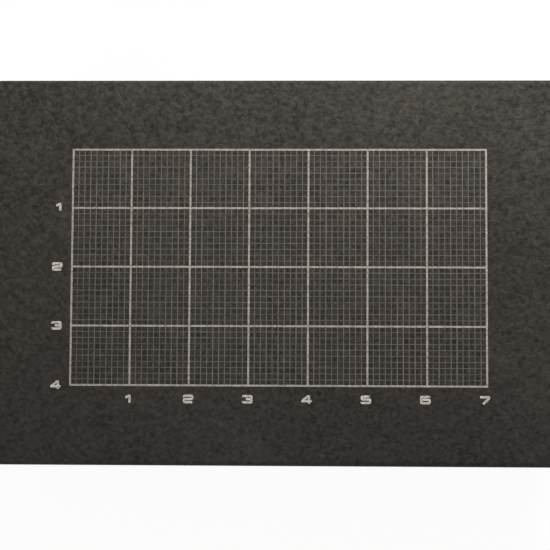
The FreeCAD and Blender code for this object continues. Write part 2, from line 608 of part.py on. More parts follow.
def meter_dial():
    plate = box(span(LEFT_X, METER_WIDTH - 6 * METER_WALL), span(METER_Y, METER_DEPTH - 6 * METER_WALL),
                (Z_PANEL, Z_PANEL + DIAL_THICKNESS))
    return plate.cut(post(3 * ARBOR_RADIUS, LEFT_X, NEEDLE_Y, Z_PANEL, Z_PANEL + DIAL_THICKNESS))


BEARING_Z = Z_PANEL - 0.6 * METER_CAN_DEPTH


def meter_can():
    bottom = Z_UNDER - METER_CAN_DEPTH
    can = post(METER_CAN_RADIUS, LEFT_X, METER_Y, bottom, Z_PANEL)
    can = can.cut(post(METER_CAN_RADIUS - SHEET, LEFT_X, METER_Y, bottom + SHEET, Z_PANEL))
    bearing = post(5 * ARBOR_RADIUS, LEFT_X, NEEDLE_Y, bottom + SHEET, BEARING_Z)
    bore = post(ARBOR_RADIUS + RUNNING_FIT, LEFT_X, NEEDLE_Y, BEARING_Z - 6 * ARBOR_RADIUS, BEARING_Z)
    return can.fuse(bearing).cut(bore)


def meter_needle():
    """Pointer, hub, moving coil and arbor, lying at the zero end of the scale."""
    high = NEEDLE_Z + NEEDLE_THICKNESS
    root = span(NEEDLE_Y, NEEDLE_ROOT)
    tip = span(NEEDLE_Y, NEEDLE_TIP)
    end = LEFT_X + NEEDLE_LENGTH
    corners = [(LEFT_X, root[0]), (end, tip[0]), (end, tip[1]), (LEFT_X, root[1]), (LEFT_X, root[0])]
    pointer = Part.makePolygon([FreeCAD.Vector(x, y, NEEDLE_Z) for x, y in corners])
    pointer = Part.Face(pointer).extrude(FreeCAD.Vector(0, 0, NEEDLE_THICKNESS))
    pointer.rotate(FreeCAD.Vector(LEFT_X, NEEDLE_Y, 0), FreeCAD.Vector(0, 0, 1), NEEDLE_REST_DEG)
    hub = post(3.5 * ARBOR_RADIUS, LEFT_X, NEEDLE_Y, NEEDLE_Z - 0.5 * ARBOR_RADIUS, high + 1.5 * ARBOR_RADIUS)
    arbor = post(ARBOR_RADIUS, LEFT_X, NEEDLE_Y, BEARING_Z - 5 * ARBOR_RADIUS, NEEDLE_Z)
    coil = box(span(LEFT_X, 10 * ARBOR_RADIUS), span(NEEDLE_Y, 7 * ARBOR_RADIUS),
               (BEARING_Z + 2.5 * ARBOR_RADIUS, BEARING_Z + 15 * ARBOR_RADIUS))
    return hub.fuse([pointer, arbor, coil])


def meter_zero_screw():
    low = METER_ROOF - GLASS_THICKNESS
    head = post(ZERO_RADIUS, LEFT_X, NEEDLE_Y, METER_ROOF - RUNNING_FIT, METER_TOP + HOLE_ROOM)
    collar = post(ZERO_RADIUS + 0.5 * METER_WALL, LEFT_X, NEEDLE_Y, low, METER_ROOF - RUNNING_FIT)
    slot = box(span(LEFT_X, ZERO_SLOT), span(NEEDLE_Y, 3 * ZERO_RADIUS),
               (METER_TOP - 0.5 * METER_WALL, METER_TOP + CUT_OVERRUN))
    return head.fuse(collar).cut(slot)


def pin_places(name):
    (pins, places), sizes, x, y = SOCKETS[name]
    circle = sizes[0]
    start = -math.pi / 2 - math.pi * (pins - 1) / places
    return [(x + circle * math.cos(start + 2 * math.pi * i / places),
             y + circle * math.sin(start + 2 * math.pi * i / places)) for i in range(pins)]


def socket(name):
    counts, (circle, pin_hole, body_radius, middle_hole), x, y = SOCKETS[name]
    low = Z_UNDER - SOCKET_DEPTH
    high = Z_PANEL + SOCKET_RISE
    flange = post(body_radius + SOCKET_FLANGE, x, y, Z_PANEL, high)
    flange = flange.makeFillet(0.5 * SOCKET_RISE, edges_at_height(flange, high))
    body = post(body_radius, x, y, low, high)
    holes = [post(pin_hole, px, py, low, high) for px, py in pin_places(name)]
    holes.append(post(middle_hole, x, y, low, high))
    if name == "octal_socket":
        holes.append(box(span(x, KEYWAY_WIDTH), (y - middle_hole - KEYWAY_DEPTH, y), (low, high)))
    return flange.fuse(body).cut(holes)


def socket_contacts():
    contacts = []
    low = Z_UNDER - SOCKET_DEPTH
    for name, (counts, sizes, x, y) in SOCKETS.items():
        outer = sizes[1] - RUNNING_FIT
        for px, py in pin_places(name):
            tube = post(outer, px, py, low - CONTACT_TAIL, Z_PANEL)
            collar = post(outer + 2 * CONTACT_WALL, px, py, low - 3 * CONTACT_WALL, low)
            bore = post(outer - CONTACT_WALL, px, py, low, Z_PANEL)
            contacts.append(tube.fuse(collar).cut(bore))
    return contacts


SHAFT_FOOT = Z_UNDER - CONTROL_DEPTH + 4 * SHEET
SHAFT_TOP = Z_PANEL + KNOB_LIFT + KNOB_HEIGHT - KNOB_CROWN


def knob(x):
    low = Z_PANEL + KNOB_LIFT
    high = low + KNOB_HEIGHT
    skirt_top = low + KNOB_SKIRT_HEIGHT
    skirt = Part.makeCone(KNOB_SKIRT_RADIUS, 0.9 * KNOB_SKIRT_RADIUS, KNOB_SKIRT_HEIGHT,
                          FreeCAD.Vector(x, KNOB_Y, low))
    grip = post(KNOB_GRIP_RADIUS, x, KNOB_Y, skirt_top, high)
    grip = grip.makeFillet(KNOB_EDGE, edges_at_height(grip, high))
    flute_radius = 0.1 * KNOB_GRIP_RADIUS
    flutes = []
    for i in range(KNOB_FLUTES):
        turn = 2 * math.pi * (i + 0.5) / KNOB_FLUTES + math.radians(KNOB_REST_DEG)
        reach = KNOB_GRIP_RADIUS + 0.4 * flute_radius
        flutes.append(post(flute_radius, x + reach * math.cos(turn), KNOB_Y + reach * math.sin(turn),
                           skirt_top, high))
    nut_room = post(BUSHING_RADIUS + 2 * NUT_WALL, x, KNOB_Y, low, BUSHING_TOP + EASY_ROOM)
    bore = post(SHAFT_RADIUS + RUNNING_FIT, x, KNOB_Y, low, SHAFT_TOP)
    mark = box((x + 0.5 * KNOB_GRIP_RADIUS, x + KNOB_SKIRT_RADIUS), span(KNOB_Y, KNOB_MARK_WIDTH),
               (high - KNOB_MARK_DEPTH, high))
    mark.rotate(FreeCAD.Vector(x, KNOB_Y, 0), FreeCAD.Vector(0, 0, 1), KNOB_REST_DEG)
    return skirt.fuse(grip).cut(flutes + [nut_room, bore, mark])


def shaft(x):
    return post(SHAFT_RADIUS, x, KNOB_Y, SHAFT_FOOT, SHAFT_TOP)


def control_body(x):
    drum = post(CONTROL_RADIUS, x, KNOB_Y, Z_UNDER - CONTROL_DEPTH, Z_UNDER)
    bushing = post(BUSHING_RADIUS, x, KNOB_Y, Z_UNDER, BUSHING_TOP)
    bore = post(SHAFT_RADIUS + RUNNING_FIT, x, KNOB_Y, SHAFT_FOOT - EASY_ROOM, BUSHING_TOP)
    return drum.fuse(bushing).cut(bore)


LEVER_HUB_RADIUS = 2.6 * LEVER_ROD_RADIUS
LEVER_PADDLE_Z = Z_PANEL + LEVER_LIFT + 0.5 * LEVER_PADDLE[1]


def lever(x):
    half_hub = 0.8 * LEVER_STEM
    hub = rod(LEVER_HUB_RADIUS, (x - half_hub, LEVER_Y, LEVER_PIVOT_Z),
              (x + half_hub, LEVER_Y, LEVER_PIVOT_Z))
    stem = box(span(x, LEVER_STEM), span(LEVER_Y, LEVER_STEM), (LEVER_PIVOT_Z, LEVER_PADDLE_Z))
    tail = box(span(x, LEVER_STEM), span(LEVER_Y, 0.6 * LEVER_STEM),
               (LEVER_PIVOT_Z - LEVER_HUB_RADIUS - LEVER_STEM, LEVER_PIVOT_Z))
    paddle = box(span(x, LEVER_PADDLE[0]), span(LEVER_Y, LEVER_PADDLE[1]),
                 (LEVER_PADDLE_Z, LEVER_PADDLE_Z + LEVER_PADDLE[2]))
    paddle = paddle.makeFillet(0.3 * LEVER_PADDLE[1], paddle.Edges)
    bore = rod(LEVER_ROD_RADIUS + RUNNING_FIT, (x - LEVER_PITCH, LEVER_Y, LEVER_PIVOT_Z),
               (x + LEVER_PITCH, LEVER_Y, LEVER_PIVOT_Z))
    return hub.fuse([stem, tail, paddle]).cut(bore)


def lever_frame():
    low = Z_UNDER - LEVER_FRAME_DEPTH
    width = span(LEVER_Y, 1.4 * LEVER_PITCH)
    base = box(span(LEFT_X, 2 * LEVER_FRAME_HALF), width, (low, low + LEVER_FRAME_SHEET))
    sides = []
    for side in (-1, 1):
        outside = LEFT_X + side * LEVER_FRAME_HALF
        wall = sorted((outside, outside - side * LEVER_FRAME_SHEET))
        ear = sorted((outside, outside - side * 4 * LEVER_FRAME_SHEET))
        sides.append(box(wall, width, (low, Z_UNDER)))
        sides.append(box(ear, width, (Z_UNDER - LEVER_FRAME_SHEET, Z_UNDER)))
    reach = LEVER_FRAME_HALF + CUT_OVERRUN
    bore = rod(LEVER_ROD_RADIUS + RUNNING_FIT, (LEFT_X - reach, LEVER_Y, LEVER_PIVOT_Z),
               (LEFT_X + reach, LEVER_Y, LEVER_PIVOT_Z))
    return base.fuse(sides).cut(bore)


def lever_rod():
    reach = LEVER_FRAME_HALF
    shank = rod(LEVER_ROD_RADIUS, (LEFT_X - reach, LEVER_Y, LEVER_PIVOT_Z),
                (LEFT_X + reach, LEVER_Y, LEVER_PIVOT_Z))
    heads = [rod(1.6 * LEVER_ROD_RADIUS, (LEFT_X + side * reach, LEVER_Y, LEVER_PIVOT_Z),
                 (LEFT_X + side * (reach + LEVER_FRAME_SHEET), LEVER_Y, LEVER_PIVOT_Z)) for side in (-1, 1)]
    return shank.fuse(heads)


BUTTON_TOP = Z_PANEL + BUTTON_RISE
BUTTON_FLOOR = Z_UNDER - BUTTON_BODY_DEPTH + 2 * SHEET
BUTTON_FOOT = BUTTON_FLOOR + 3 * BUTTON_TRAVEL


def push_button(x):
    cap = post(BUTTON_RADIUS, x, BUTTON_Y, BUTTON_FOOT, BUTTON_TOP)
    return cap.makeFillet(0.3 * BUTTON_RADIUS, edges_at_height(cap, BUTTON_TOP))


def button_body(x):
    body = post(BUTTON_BODY_RADIUS, x, BUTTON_Y, Z_UNDER - BUTTON_BODY_DEPTH, Z_UNDER)
    bushing = post(BUTTON_BUSHING_RADIUS, x, BUTTON_Y, Z_UNDER, BUSHING_TOP + EASY_ROOM)
    bore = post(BUTTON_RADIUS + RUNNING_FIT, x, BUTTON_Y, BUTTON_FLOOR, BUSHING_TOP + EASY_ROOM)
    return body.fuse(bushing).cut(bore)


def button_spring(x):
    """Return spring between the floor of the button's body and the foot of its plunger, wound in half turns."""
    radius = 0.6 * BUTTON_RADIUS
    low = BUTTON_FLOOR + SPRING_WIRE_RADIUS
    rise = (BUTTON_FOOT - BUTTON_FLOOR - 2 * SPRING_WIRE_RADIUS) / (2 * SPRING_TURNS)
    print("button spring: gap between turns", round(2 * (rise - SPRING_WIRE_RADIUS), 2), "mm")
    arcs = []
    for i in range(2 * SPRING_TURNS):
        side = 1 if i % 2 == 0 else -1
        start = FreeCAD.Vector(x + side * radius, BUTTON_Y, low + i * rise)
        end = FreeCAD.Vector(x - side * radius, BUTTON_Y, low + (i + 1) * rise)
        reach = (end - start).Length / 2
        middle = (start + end) / 2 + FreeCAD.Vector(0, side * reach, 0)
        arcs.append(Part.Arc(start, middle, end).toShape())
    foot = FreeCAD.Vector(x + radius, BUTTON_Y, low)
    section = Part.Wire(Part.makeCircle(SPRING_WIRE_RADIUS, foot, FreeCAD.Vector(0, 1, 0)))
    return Part.Wire(arcs).makePipeShell([section], True, False)


def power_toggle():
    """Bat lever leaning to its off side."""
    ball_radius = TOGGLE_BORE_RADIUS - 2 * HOLE_ROOM
    pivot = FreeCAD.Vector(OUTER_X, TOGGLE_Y, TOGGLE_PIVOT_Z)
    ball = Part.makeSphere(ball_radius, pivot)
    bat = Part.makeCone(0.4 * ball_radius, 0.8 * ball_radius, TOGGLE_LENGTH, pivot)
    tip = Part.makeSphere(0.8 * ball_radius, pivot + FreeCAD.Vector(0, 0, TOGGLE_LENGTH))
    reach = TOGGLE_BUSHING_RADIUS - HOLE_ROOM
    pin = rod(TOGGLE_PIN_RADIUS, (OUTER_X - reach, TOGGLE_Y, TOGGLE_PIVOT_Z),
              (OUTER_X + reach, TOGGLE_Y, TOGGLE_PIVOT_Z))
    toggle = ball.fuse([bat, tip, pin])
    toggle.rotate(pivot, FreeCAD.Vector(1, 0, 0), TOGGLE_TILT_DEG)
    return toggle


def toggle_body():
    block = box(span(OUTER_X, TOGGLE_BODY[0]), span(TOGGLE_Y, TOGGLE_BODY[1]),
                (Z_UNDER - TOGGLE_BODY[2], Z_UNDER))
    bushing = post(TOGGLE_BUSHING_RADIUS, OUTER_X, TOGGLE_Y, Z_UNDER, BUSHING_TOP + EASY_ROOM)
    bore_foot = TOGGLE_PIVOT_Z - 2 * TOGGLE_BORE_RADIUS
    bore = post(TOGGLE_BORE_RADIUS, OUTER_X, TOGGLE_Y, bore_foot, BUSHING_TOP + EASY_ROOM)
    reach = TOGGLE_BUSHING_RADIUS + CUT_OVERRUN
    pin_hole = rod(TOGGLE_PIN_RADIUS + RUNNING_FIT, (OUTER_X - reach, TOGGLE_Y, TOGGLE_PIVOT_Z),
                   (OUTER_X + reach, TOGGLE_Y, TOGGLE_PIVOT_Z))
    return block.fuse(bushing).cut([bore, pin_hole])


PILOT_TOP = Z_PANEL + NUT_HEIGHT


def pilot_holder():
    body = post(PILOT_BUSHING_RADIUS, OUTER_X, PILOT_Y, Z_UNDER - PILOT_DEPTH, PILOT_TOP)
    bezel = post(PILOT_RADIUS, OUTER_X, PILOT_Y, Z_PANEL, PILOT_TOP)
    bezel = bezel.makeFillet(0.4 * NUT_HEIGHT, edges_at_height(bezel, PILOT_TOP))
    lamp_room = post(0.75 * JEWEL_RADIUS, OUTER_X, PILOT_Y, Z_UNDER - PILOT_DEPTH + SHEET, PILOT_TOP)
    return body.fuse(bezel).cut(lamp_room)


def pilot_jewel():
    dome_radius = 1.15 * JEWEL_RADIUS
    drop = math.sqrt(dome_radius ** 2 - JEWEL_RADIUS ** 2)
    dome = Part.makeSphere(dome_radius, FreeCAD.Vector(OUTER_X, PILOT_Y, PILOT_TOP + SHEET - drop))
    jewel = dome.common(post(JEWEL_RADIUS, OUTER_X, PILOT_Y, PILOT_TOP + SHEET, PILOT_TOP + 2 * JEWEL_RADIUS))
    return jewel.fuse(post(JEWEL_RADIUS, OUTER_X, PILOT_Y, PILOT_TOP, PILOT_TOP + SHEET)).removeSplitter()


BOLT_PLACES = [(CORE_X + sx * (CORE_WIDTH - CORE_LIMB) / 2, CORE_Y + sy * (CORE_DEPTH - CORE_LIMB) / 2)
               for sx in (-1, 1) for sy in (-1, 1)]
CORE_BOLT_RADIUS = 0.18 * CORE_LIMB
WINDOW_WIDTH = (CORE_WIDTH - 4 * CORE_LIMB) / 2
WINDOW_DEPTH = CORE_DEPTH - 2 * CORE_LIMB


def transformer_core():
    stack = (CORE_Z, CORE_Z + CORE_STACK)
    core = box(span(CORE_X, CORE_WIDTH), span(CORE_Y, CORE_DEPTH), stack)
    window_y = span(CORE_Y, WINDOW_DEPTH)
    cuts = [box(span(CORE_X + side * (CORE_LIMB + WINDOW_WIDTH / 2), WINDOW_WIDTH), window_y, stack)
            for side in (-1, 1)]
    cuts += [post(CORE_BOLT_RADIUS + RUNNING_FIT, x, y, stack[0], stack[1]) for x, y in BOLT_PLACES]
    return core.cut(cuts)


def transformer_coil():
    outer_half = CORE_LIMB + WINDOW_WIDTH - EASY_ROOM
    outer = rounded_block(span(CORE_X, 2 * outer_half), span(CORE_Y, WINDOW_DEPTH - 2 * EASY_ROOM),
                          (CORE_Z - COIL_OVERHANG, CORE_Z + CORE_STACK + COIL_OVERHANG), 0.4 * CORE_LIMB,
                          (0, 1, 0))
    limb = box(span(CORE_X, 2 * CORE_LIMB), span(CORE_Y, CORE_DEPTH), (CORE_Z, CORE_Z + CORE_STACK))
    return outer.cut(limb)


def transformer_bolts():
    bolts = []
    for x, y in BOLT_PLACES:
        spacer = post(2 * CORE_BOLT_RADIUS, x, y, Z_INSIDE, CORE_Z)
        shank = post(CORE_BOLT_RADIUS, x, y, CORE_Z, CORE_Z + CORE_STACK)
        head_low = CORE_Z + CORE_STACK
        head = post(2 * CORE_BOLT_RADIUS, x, y, head_low, head_low + 2 * CORE_BOLT_RADIUS)
        bolts.append(spacer.fuse([shank, head]))
    return bolts


BOARD_TOP = Z_INSIDE + BOARD_HEIGHT + BOARD_SIZE[2]


def tag_board():
    return box(span(BOARD_X, BOARD_SIZE[0]), span(BOARD_Y, BOARD_SIZE[1]),
               (Z_INSIDE + BOARD_HEIGHT, BOARD_TOP))


def tag_board_pillars():
    return [post(2.5 * BOARD_SIZE[2], x, y, Z_INSIDE, Z_INSIDE + BOARD_HEIGHT)
            for x in span(BOARD_X, BOARD_SIZE[0] - 8 * BOARD_SIZE[2])
            for y in span(BOARD_Y, BOARD_SIZE[1] - 8 * BOARD_SIZE[2])]


def board_parts():
    """A row of resistors on bent leads, and a reservoir capacitor on two tags."""
    parts = []
    pitch = 0.8 * BOARD_SIZE[0] / RESISTOR_COUNT
    lead = 0.25 * BOARD_SIZE[2]
    for i in range(RESISTOR_COUNT):
        x = BOARD_X + (i - (RESISTOR_COUNT - 1) / 2) * pitch
        y = BOARD_Y - 0.2 * BOARD_SIZE[1]
        radius = 0.22 * pitch
        high = BOARD_TOP + 1.5 * radius
        reach = 0.18 * BOARD_SIZE[1]
        wire = bent_rod([(x, y - reach, BOARD_TOP), (x, y - reach, high), (x, y + reach, high),
                         (x, y + reach, BOARD_TOP)], 3 * lead, lead)
        parts.append(rod(radius, (x, y - 0.6 * reach, high), (x, y + 0.6 * reach, high)).fuse(wire))
    radius = 0.12 * BOARD_SIZE[1]
    y = BOARD_Y + 0.25 * BOARD_SIZE[1]
    half = 0.25 * BOARD_SIZE[0]
    axis_z = BOARD_TOP + 1.2 * radius
    can = rod(radius, (BOARD_X - half, y, axis_z), (BOARD_X + half, y, axis_z))
    tags = [box(span(BOARD_X + side * 0.7 * half, lead * 3), span(y, radius), (BOARD_TOP, BOARD_TOP + radius))
            for side in (-1, 1)]
    parts.append(can.fuse(tags))
    return parts


nodes = {
    "case_pan": [case_pan()],
    "rubber_feet": rubber_feet(),
    "lid_shell": [lid_shell()],
    "grid_print": [grid_print()],
    "case_hinge_leaf": [hinge_leaf(-1)],
    "lid_hinge_leaf": [hinge_leaf(1)],
    "hinge_pin": [hinge_pin()],
    "handle_dish": [handle_dish()],
    "handle_bail": [handle_bail()],
    "catch_bezels": [catch_bezel(-CATCH_X), catch_bezel(CATCH_X)],
    "catch_button_left": [catch_button(-CATCH_X)],
    "catch_button_right": [catch_button(CATCH_X)],
    "catch_guides": [catch_guide(-CATCH_X), catch_guide(CATCH_X)],
    "lid_hooks": [lid_hook(-CATCH_X), lid_hook(CATCH_X)],
    "mains_inlet": [mains_inlet()],
    "inlet_pins": inlet_pins(),
    "panel_frame": [panel_frame()],
    "control_panel": [control_panel()],
    "panel_screws": panel_screws(),
    "panel_nuts": panel_nuts(),
    "meter_bezel": [meter_bezel()],
    "meter_can": [meter_can()],
    "meter_dial": [meter_dial()],
    "meter_window": [meter_window()],
    "meter_needle": [meter_needle()],
    "meter_zero_screw": [meter_zero_screw()],
    "socket_contacts": socket_contacts(),
    "control_bodies": [control_body(x) for x in KNOB_XS.values()],
    "lever_frame": [lever_frame()],
    "lever_rod": [lever_rod()],
    "button_bodies": [button_body(x) for x in BUTTON_XS.values()],
    "power_toggle": [power_toggle()],
    "toggle_body": [toggle_body()],
    "pilot_holder": [pilot_holder()],
    "pilot_jewel": [pilot_jewel()],
    "transformer_core": [transformer_core()],
    "transformer_coil": [transformer_coil()],
    "transformer_bolts": transformer_bolts(),
    "tag_board": [tag_board()],
    "tag_board_pillars": tag_board_pillars(),
    "board_parts": board_parts(),
}
for name in SOCKETS:
    nodes[name] = [socket(name)]
for name, x in KNOB_XS.items():
    nodes[name + "_knob"] = [knob(x)]
    nodes[name + "_shaft"] = [shaft(x)]
for i, x in enumerate(LEVER_XS):
    nodes["lever_%d" % (i + 1)] = [lever(x)]
for name, x in BUTTON_XS.items():
    nodes[name + "_button"] = [push_button(x)]
    nodes[name + "_button_spring"] = [button_spring(x)]

os.makedirs("parts", exist_ok=True)
for name, solids in nodes.items():
    shape = solids[0] if len(solids) == 1 else Part.makeCompound(solids)
    shape.exportStep("parts/" + name + ".step")
    whole = all(solid.isValid() and len(solid.Solids) == 1 for solid in solids)
    volume = round(shape.Volume / 1000, 3)
    print(name, "pieces", len(shape.Solids), "volume", volume, "cm3", "" if whole else "CHECK")
print("nodes", len(nodes))
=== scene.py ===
# %% [markdown]
# A tube tester, shut, seen from above
# The model comes from the workshop as a set of finished solids: a steel case, a hinged lid, and a panel of
# sockets, knobs, levers and a meter under it. This lesson paints them, prints on them, lights them and
# stands a camera over them. Nothing that was measured is moved. We only add what a painter, a printer
# and a photographer would add.

# %% Load the workshop model
import json
import math
import bpy
from mathutils import Euler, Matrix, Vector


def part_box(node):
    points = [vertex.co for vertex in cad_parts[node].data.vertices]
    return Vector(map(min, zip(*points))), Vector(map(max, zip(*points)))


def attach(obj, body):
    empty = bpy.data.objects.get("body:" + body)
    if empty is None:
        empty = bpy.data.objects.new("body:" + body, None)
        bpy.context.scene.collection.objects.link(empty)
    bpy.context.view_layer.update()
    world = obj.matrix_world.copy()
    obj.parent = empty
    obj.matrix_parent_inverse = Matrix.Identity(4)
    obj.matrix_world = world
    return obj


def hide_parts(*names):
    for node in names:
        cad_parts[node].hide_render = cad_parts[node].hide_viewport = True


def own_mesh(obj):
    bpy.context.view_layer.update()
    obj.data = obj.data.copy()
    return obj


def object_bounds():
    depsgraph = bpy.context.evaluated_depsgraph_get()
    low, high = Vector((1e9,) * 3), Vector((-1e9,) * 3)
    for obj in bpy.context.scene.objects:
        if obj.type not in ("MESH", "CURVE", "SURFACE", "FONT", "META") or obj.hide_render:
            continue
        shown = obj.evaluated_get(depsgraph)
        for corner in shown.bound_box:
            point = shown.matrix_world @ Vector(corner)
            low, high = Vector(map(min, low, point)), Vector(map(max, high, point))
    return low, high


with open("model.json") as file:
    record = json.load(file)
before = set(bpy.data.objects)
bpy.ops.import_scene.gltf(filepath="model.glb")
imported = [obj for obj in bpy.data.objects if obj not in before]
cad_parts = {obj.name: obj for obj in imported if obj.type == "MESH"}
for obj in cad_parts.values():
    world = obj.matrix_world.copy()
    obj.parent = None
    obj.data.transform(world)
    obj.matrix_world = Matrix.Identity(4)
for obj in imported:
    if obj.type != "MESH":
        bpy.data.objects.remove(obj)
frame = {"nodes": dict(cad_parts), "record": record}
cad_low, cad_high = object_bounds()
nodes = frame["nodes"]
MM = 0.001
print("size in mm:", [round(side / MM, 1) for side in cad_high - cad_low])

# %% [markdown]
# The camera hangs over the lid, a little in front of the middle, as a person stands at a bench and looks
# down. A long lens keeps the ruled squares square. A short lens close by would have shown the front wall
# too, and the picture shows none of it. The place is counted from the middle of the ruled grid, because the
# grid's corners are what the tilt and the place were worked out from.

# %% Camera
LENS_MM = 117.818
SENSOR_MM = 36.0
CAMERA_FROM_GRID_MM = (22.36, -74.47, 767.54)
CAMERA_TURN_DEG = (5.2947, 1.7503, 0.3174)
camera_data = bpy.data.cameras.new("bench_camera")
camera_data.lens = LENS_MM
camera_data.sensor_width = SENSOR_MM
camera = bpy.data.objects.new("bench_camera", camera_data)
grid_low, grid_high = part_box("grid_print")
camera.location = (grid_low + grid_high) / 2 + Vector(CAMERA_FROM_GRID_MM) * MM
camera.rotation_euler = Euler([math.radians(turn) for turn in CAMERA_TURN_DEG])
bpy.context.scene.collection.objects.link(camera)
bpy.context.scene.camera = camera
print("camera height over the lid in mm:", round(camera.location.z / MM - cad_high.z / MM))

# %% [markdown]
# Finishes are node materials. Wiring nodes by hand is slow to read, so one small class holds a socket and
# lets us write sums on it: `1 - mask` adds the Math node for us. A second class holds one material, and its
# `node` method makes any other node from its type, its settings and what goes into its sockets.

# %% A socket that can do sums
class Wire:
    """One output of a node, which can be added to, taken from and multiplied."""

    def __init__(self, finish, socket):
        self.finish = finish
        self.socket = socket

    def work(self, operation, first, second):
        return self.finish.node("ShaderNodeMath", {"operation": operation}, {0: first, 1: second})

    def __add__(self, other):
        return self.work("ADD", self, other)

    def __radd__(self, other):
        return self.work("ADD", other, self)

    def __sub__(self, other):
        return self.work("SUBTRACT", self, other)

    def __rsub__(self, other):
        return self.work("SUBTRACT", other, self)

    def __mul__(self, other):
        return self.work("MULTIPLY", self, other)

    def __rmul__(self, other):
        return self.work("MULTIPLY", other, self)


# %% A set of nodes, and one finish
class Wiring:
    """The nodes of one material or of the world."""

    def __init__(self, tree):
        self.tree = tree

    def node(self, kind, settings=None, inputs=None, output=0):
        made = self.tree.nodes.new(kind)
        for name, value in (settings or {}).items():
            setattr(made, name, value)
        for name, value in (inputs or {}).items():
            self.feed(made.inputs[name], value)
        return Wire(self, made.outputs[output])

    def feed(self, socket, value):
        if isinstance(value, Wire):
            self.tree.links.new(value.socket, socket)
        else:
            socket.default_value = value

    def camera_mirror_or_glass(self):
        """1 for a ray from the camera, off a mirror or through glass, 0 for a ray that only lights."""
        path = self.node("ShaderNodeLightPath")
        wires = {out.name: Wire(self, out) for out in path.socket.node.outputs}
        return wires["Is Camera Ray"] + wires["Is Glossy Ray"] + wires["Is Transmission Ray"]


class Finish(Wiring):
    """One material: its shader, and the nodes that feed it."""

    def __init__(self, name, constants):
        self.material = bpy.data.materials.new(name)
        self.material.use_nodes = True
        super().__init__(self.material.node_tree)
        self.shader = self.tree.nodes["Principled BSDF"]
        self.shade(constants)
        self.place = self.node("ShaderNodeTexCoord", output="Object")

    def shade(self, values):
        for name, value in values.items():
            self.feed(self.shader.inputs[name], value)

    def noise(self, scale, detail=3.0, warp=0.0, place=None):
        return self.node("ShaderNodeTexNoise", None, {"Vector": place or self.place, "Scale": scale,
                                                      "Detail": detail, "Distortion": warp})

    def spread(self, value, low, high, start=0.0, end=1.0):
        return self.node("ShaderNodeMapRange", {"clamp": True},
                         {"Value": value, "From Min": low, "From Max": high, "To Min": start, "To Max": end})

    def blend(self, share, first, second):
        return self.node("ShaderNodeMix", {"data_type": "RGBA"}, {0: share, 6: first, 7: second}, 2)

    def stretched(self, stretch):
        return self.node("ShaderNodeVectorMath", {"operation": "MULTIPLY"}, {0: self.place, 1: stretch})

    def bump(self, height, depth_mm):
        return self.node("ShaderNodeBump", None, {"Height": height, "Distance": depth_mm * MM}, "Normal")

    def edges(self, radius_mm):
        soft = self.node("ShaderNodeBevel", {"samples": 4}, {"Radius": radius_mm * MM})
        sharp = self.node("ShaderNodeNewGeometry", output="Normal")
        alike = self.node("ShaderNodeVectorMath", {"operation": "DOT_PRODUCT"}, {0: soft, 1: sharp}, "Value")
        return self.spread(1 - alike, 0.02, 0.2)


def colour(red, green, blue):
    """A colour as a screen shows it, from 0 to 255, turned into the light that Blender counts in."""
    shares = [channel / 255 for channel in (red, green, blue)]
    return tuple(s / 12.92 if s < 0.04045 else ((s + 0.055) / 1.055) ** 2.4 for s in shares) + (1.0,)


WHITE = (1.0, 1.0, 1.0, 1.0)
finishes = {}
print("the paint shop is open")

# %% [markdown]
# The case and lid wear a soft black crackle enamel, baked so that it wrinkles into fine pebbles about two
# millimetres across. An image of the skin would repeat and blur. Noise laid in real millimetres never does:
# one noise makes the pebbles, a finer one breaks their tops, and a broad one clouds the colour as years of
# handling do. The hollows between the pebbles are painted darker and their crests paler, a painted shade
# and highlight that follow the bump. The paint is also painted paler towards the back and darker in front,
# a painted sheen from light behind, and along the edges it has rubbed through to bare metal.

# %% Crackle enamel
enamel = Finish("case_paint", {"Specular IOR Level": 0.08})
pebbles = enamel.noise(520, 3.0, 0.6)
pebble_tops = enamel.noise(2600, 2.0)
handling = enamel.noise(16, 3.0)
dust = enamel.spread(enamel.noise(34, 5.0, 0.8), 0.62, 0.8)
worn = enamel.edges(0.7) * enamel.spread(enamel.noise(260, 4.0), 0.45, 0.62)
# Painted light: the enamel's colour is painted paler towards the back and darker in front, a painted sheen
# from behind.
depth = enamel.node("ShaderNodeSeparateXYZ", None, {"Vector": enamel.place}, "Y")
painted_back_sheen = enamel.spread(depth, cad_low.y, cad_high.y)
# Painted shade and highlight: the pebble hollows take the darker colour and the crests the paler one, and
# both carry the painted sheen towards the back.
hollow_painted_shade = enamel.blend(painted_back_sheen, colour(27, 25, 23), colour(34, 31, 28))
crest_painted_highlight = enamel.blend(painted_back_sheen, colour(53, 49, 46), colour(68, 64, 58))
# The pebble tone is mostly painted shade and highlight that follow the bump's noise; the handling noise
# mixed in is a real change of tone.
pebble_tone_and_painted_light = enamel.blend(enamel.spread(pebbles * 0.8 + handling * 0.2, 0.32, 0.68), hollow_painted_shade, crest_painted_highlight)
# Real dust laid over the painted shade, highlight and sheen.
dust_and_painted_light = enamel.blend(dust * 0.03, pebble_tone_and_painted_light, colour(170, 164, 150))
enamel.shade({"Base Color": enamel.blend(worn, dust_and_painted_light, colour(150, 146, 138)),
              "Metallic": worn * 0.8,
              "Roughness": 0.46 + pebble_tops * 0.16 + dust * 0.04 - worn * 0.15,
              "Normal": enamel.bump(pebbles + pebble_tops * 0.2, 0.5)})
finishes["case_paint"] = enamel
print("crackle enamel nodes:", len(enamel.tree.nodes))

# %% [markdown]
# The grid and numerals are screen-printed in cream ink over the enamel. Ink that is pressed through a mesh
# onto pebbles does not cover them evenly, so the tone breaks up at about the scale of the skin under it. A
# thin line takes less ink than a bold figure does, so one recipe makes a duller ink and a fuller one.

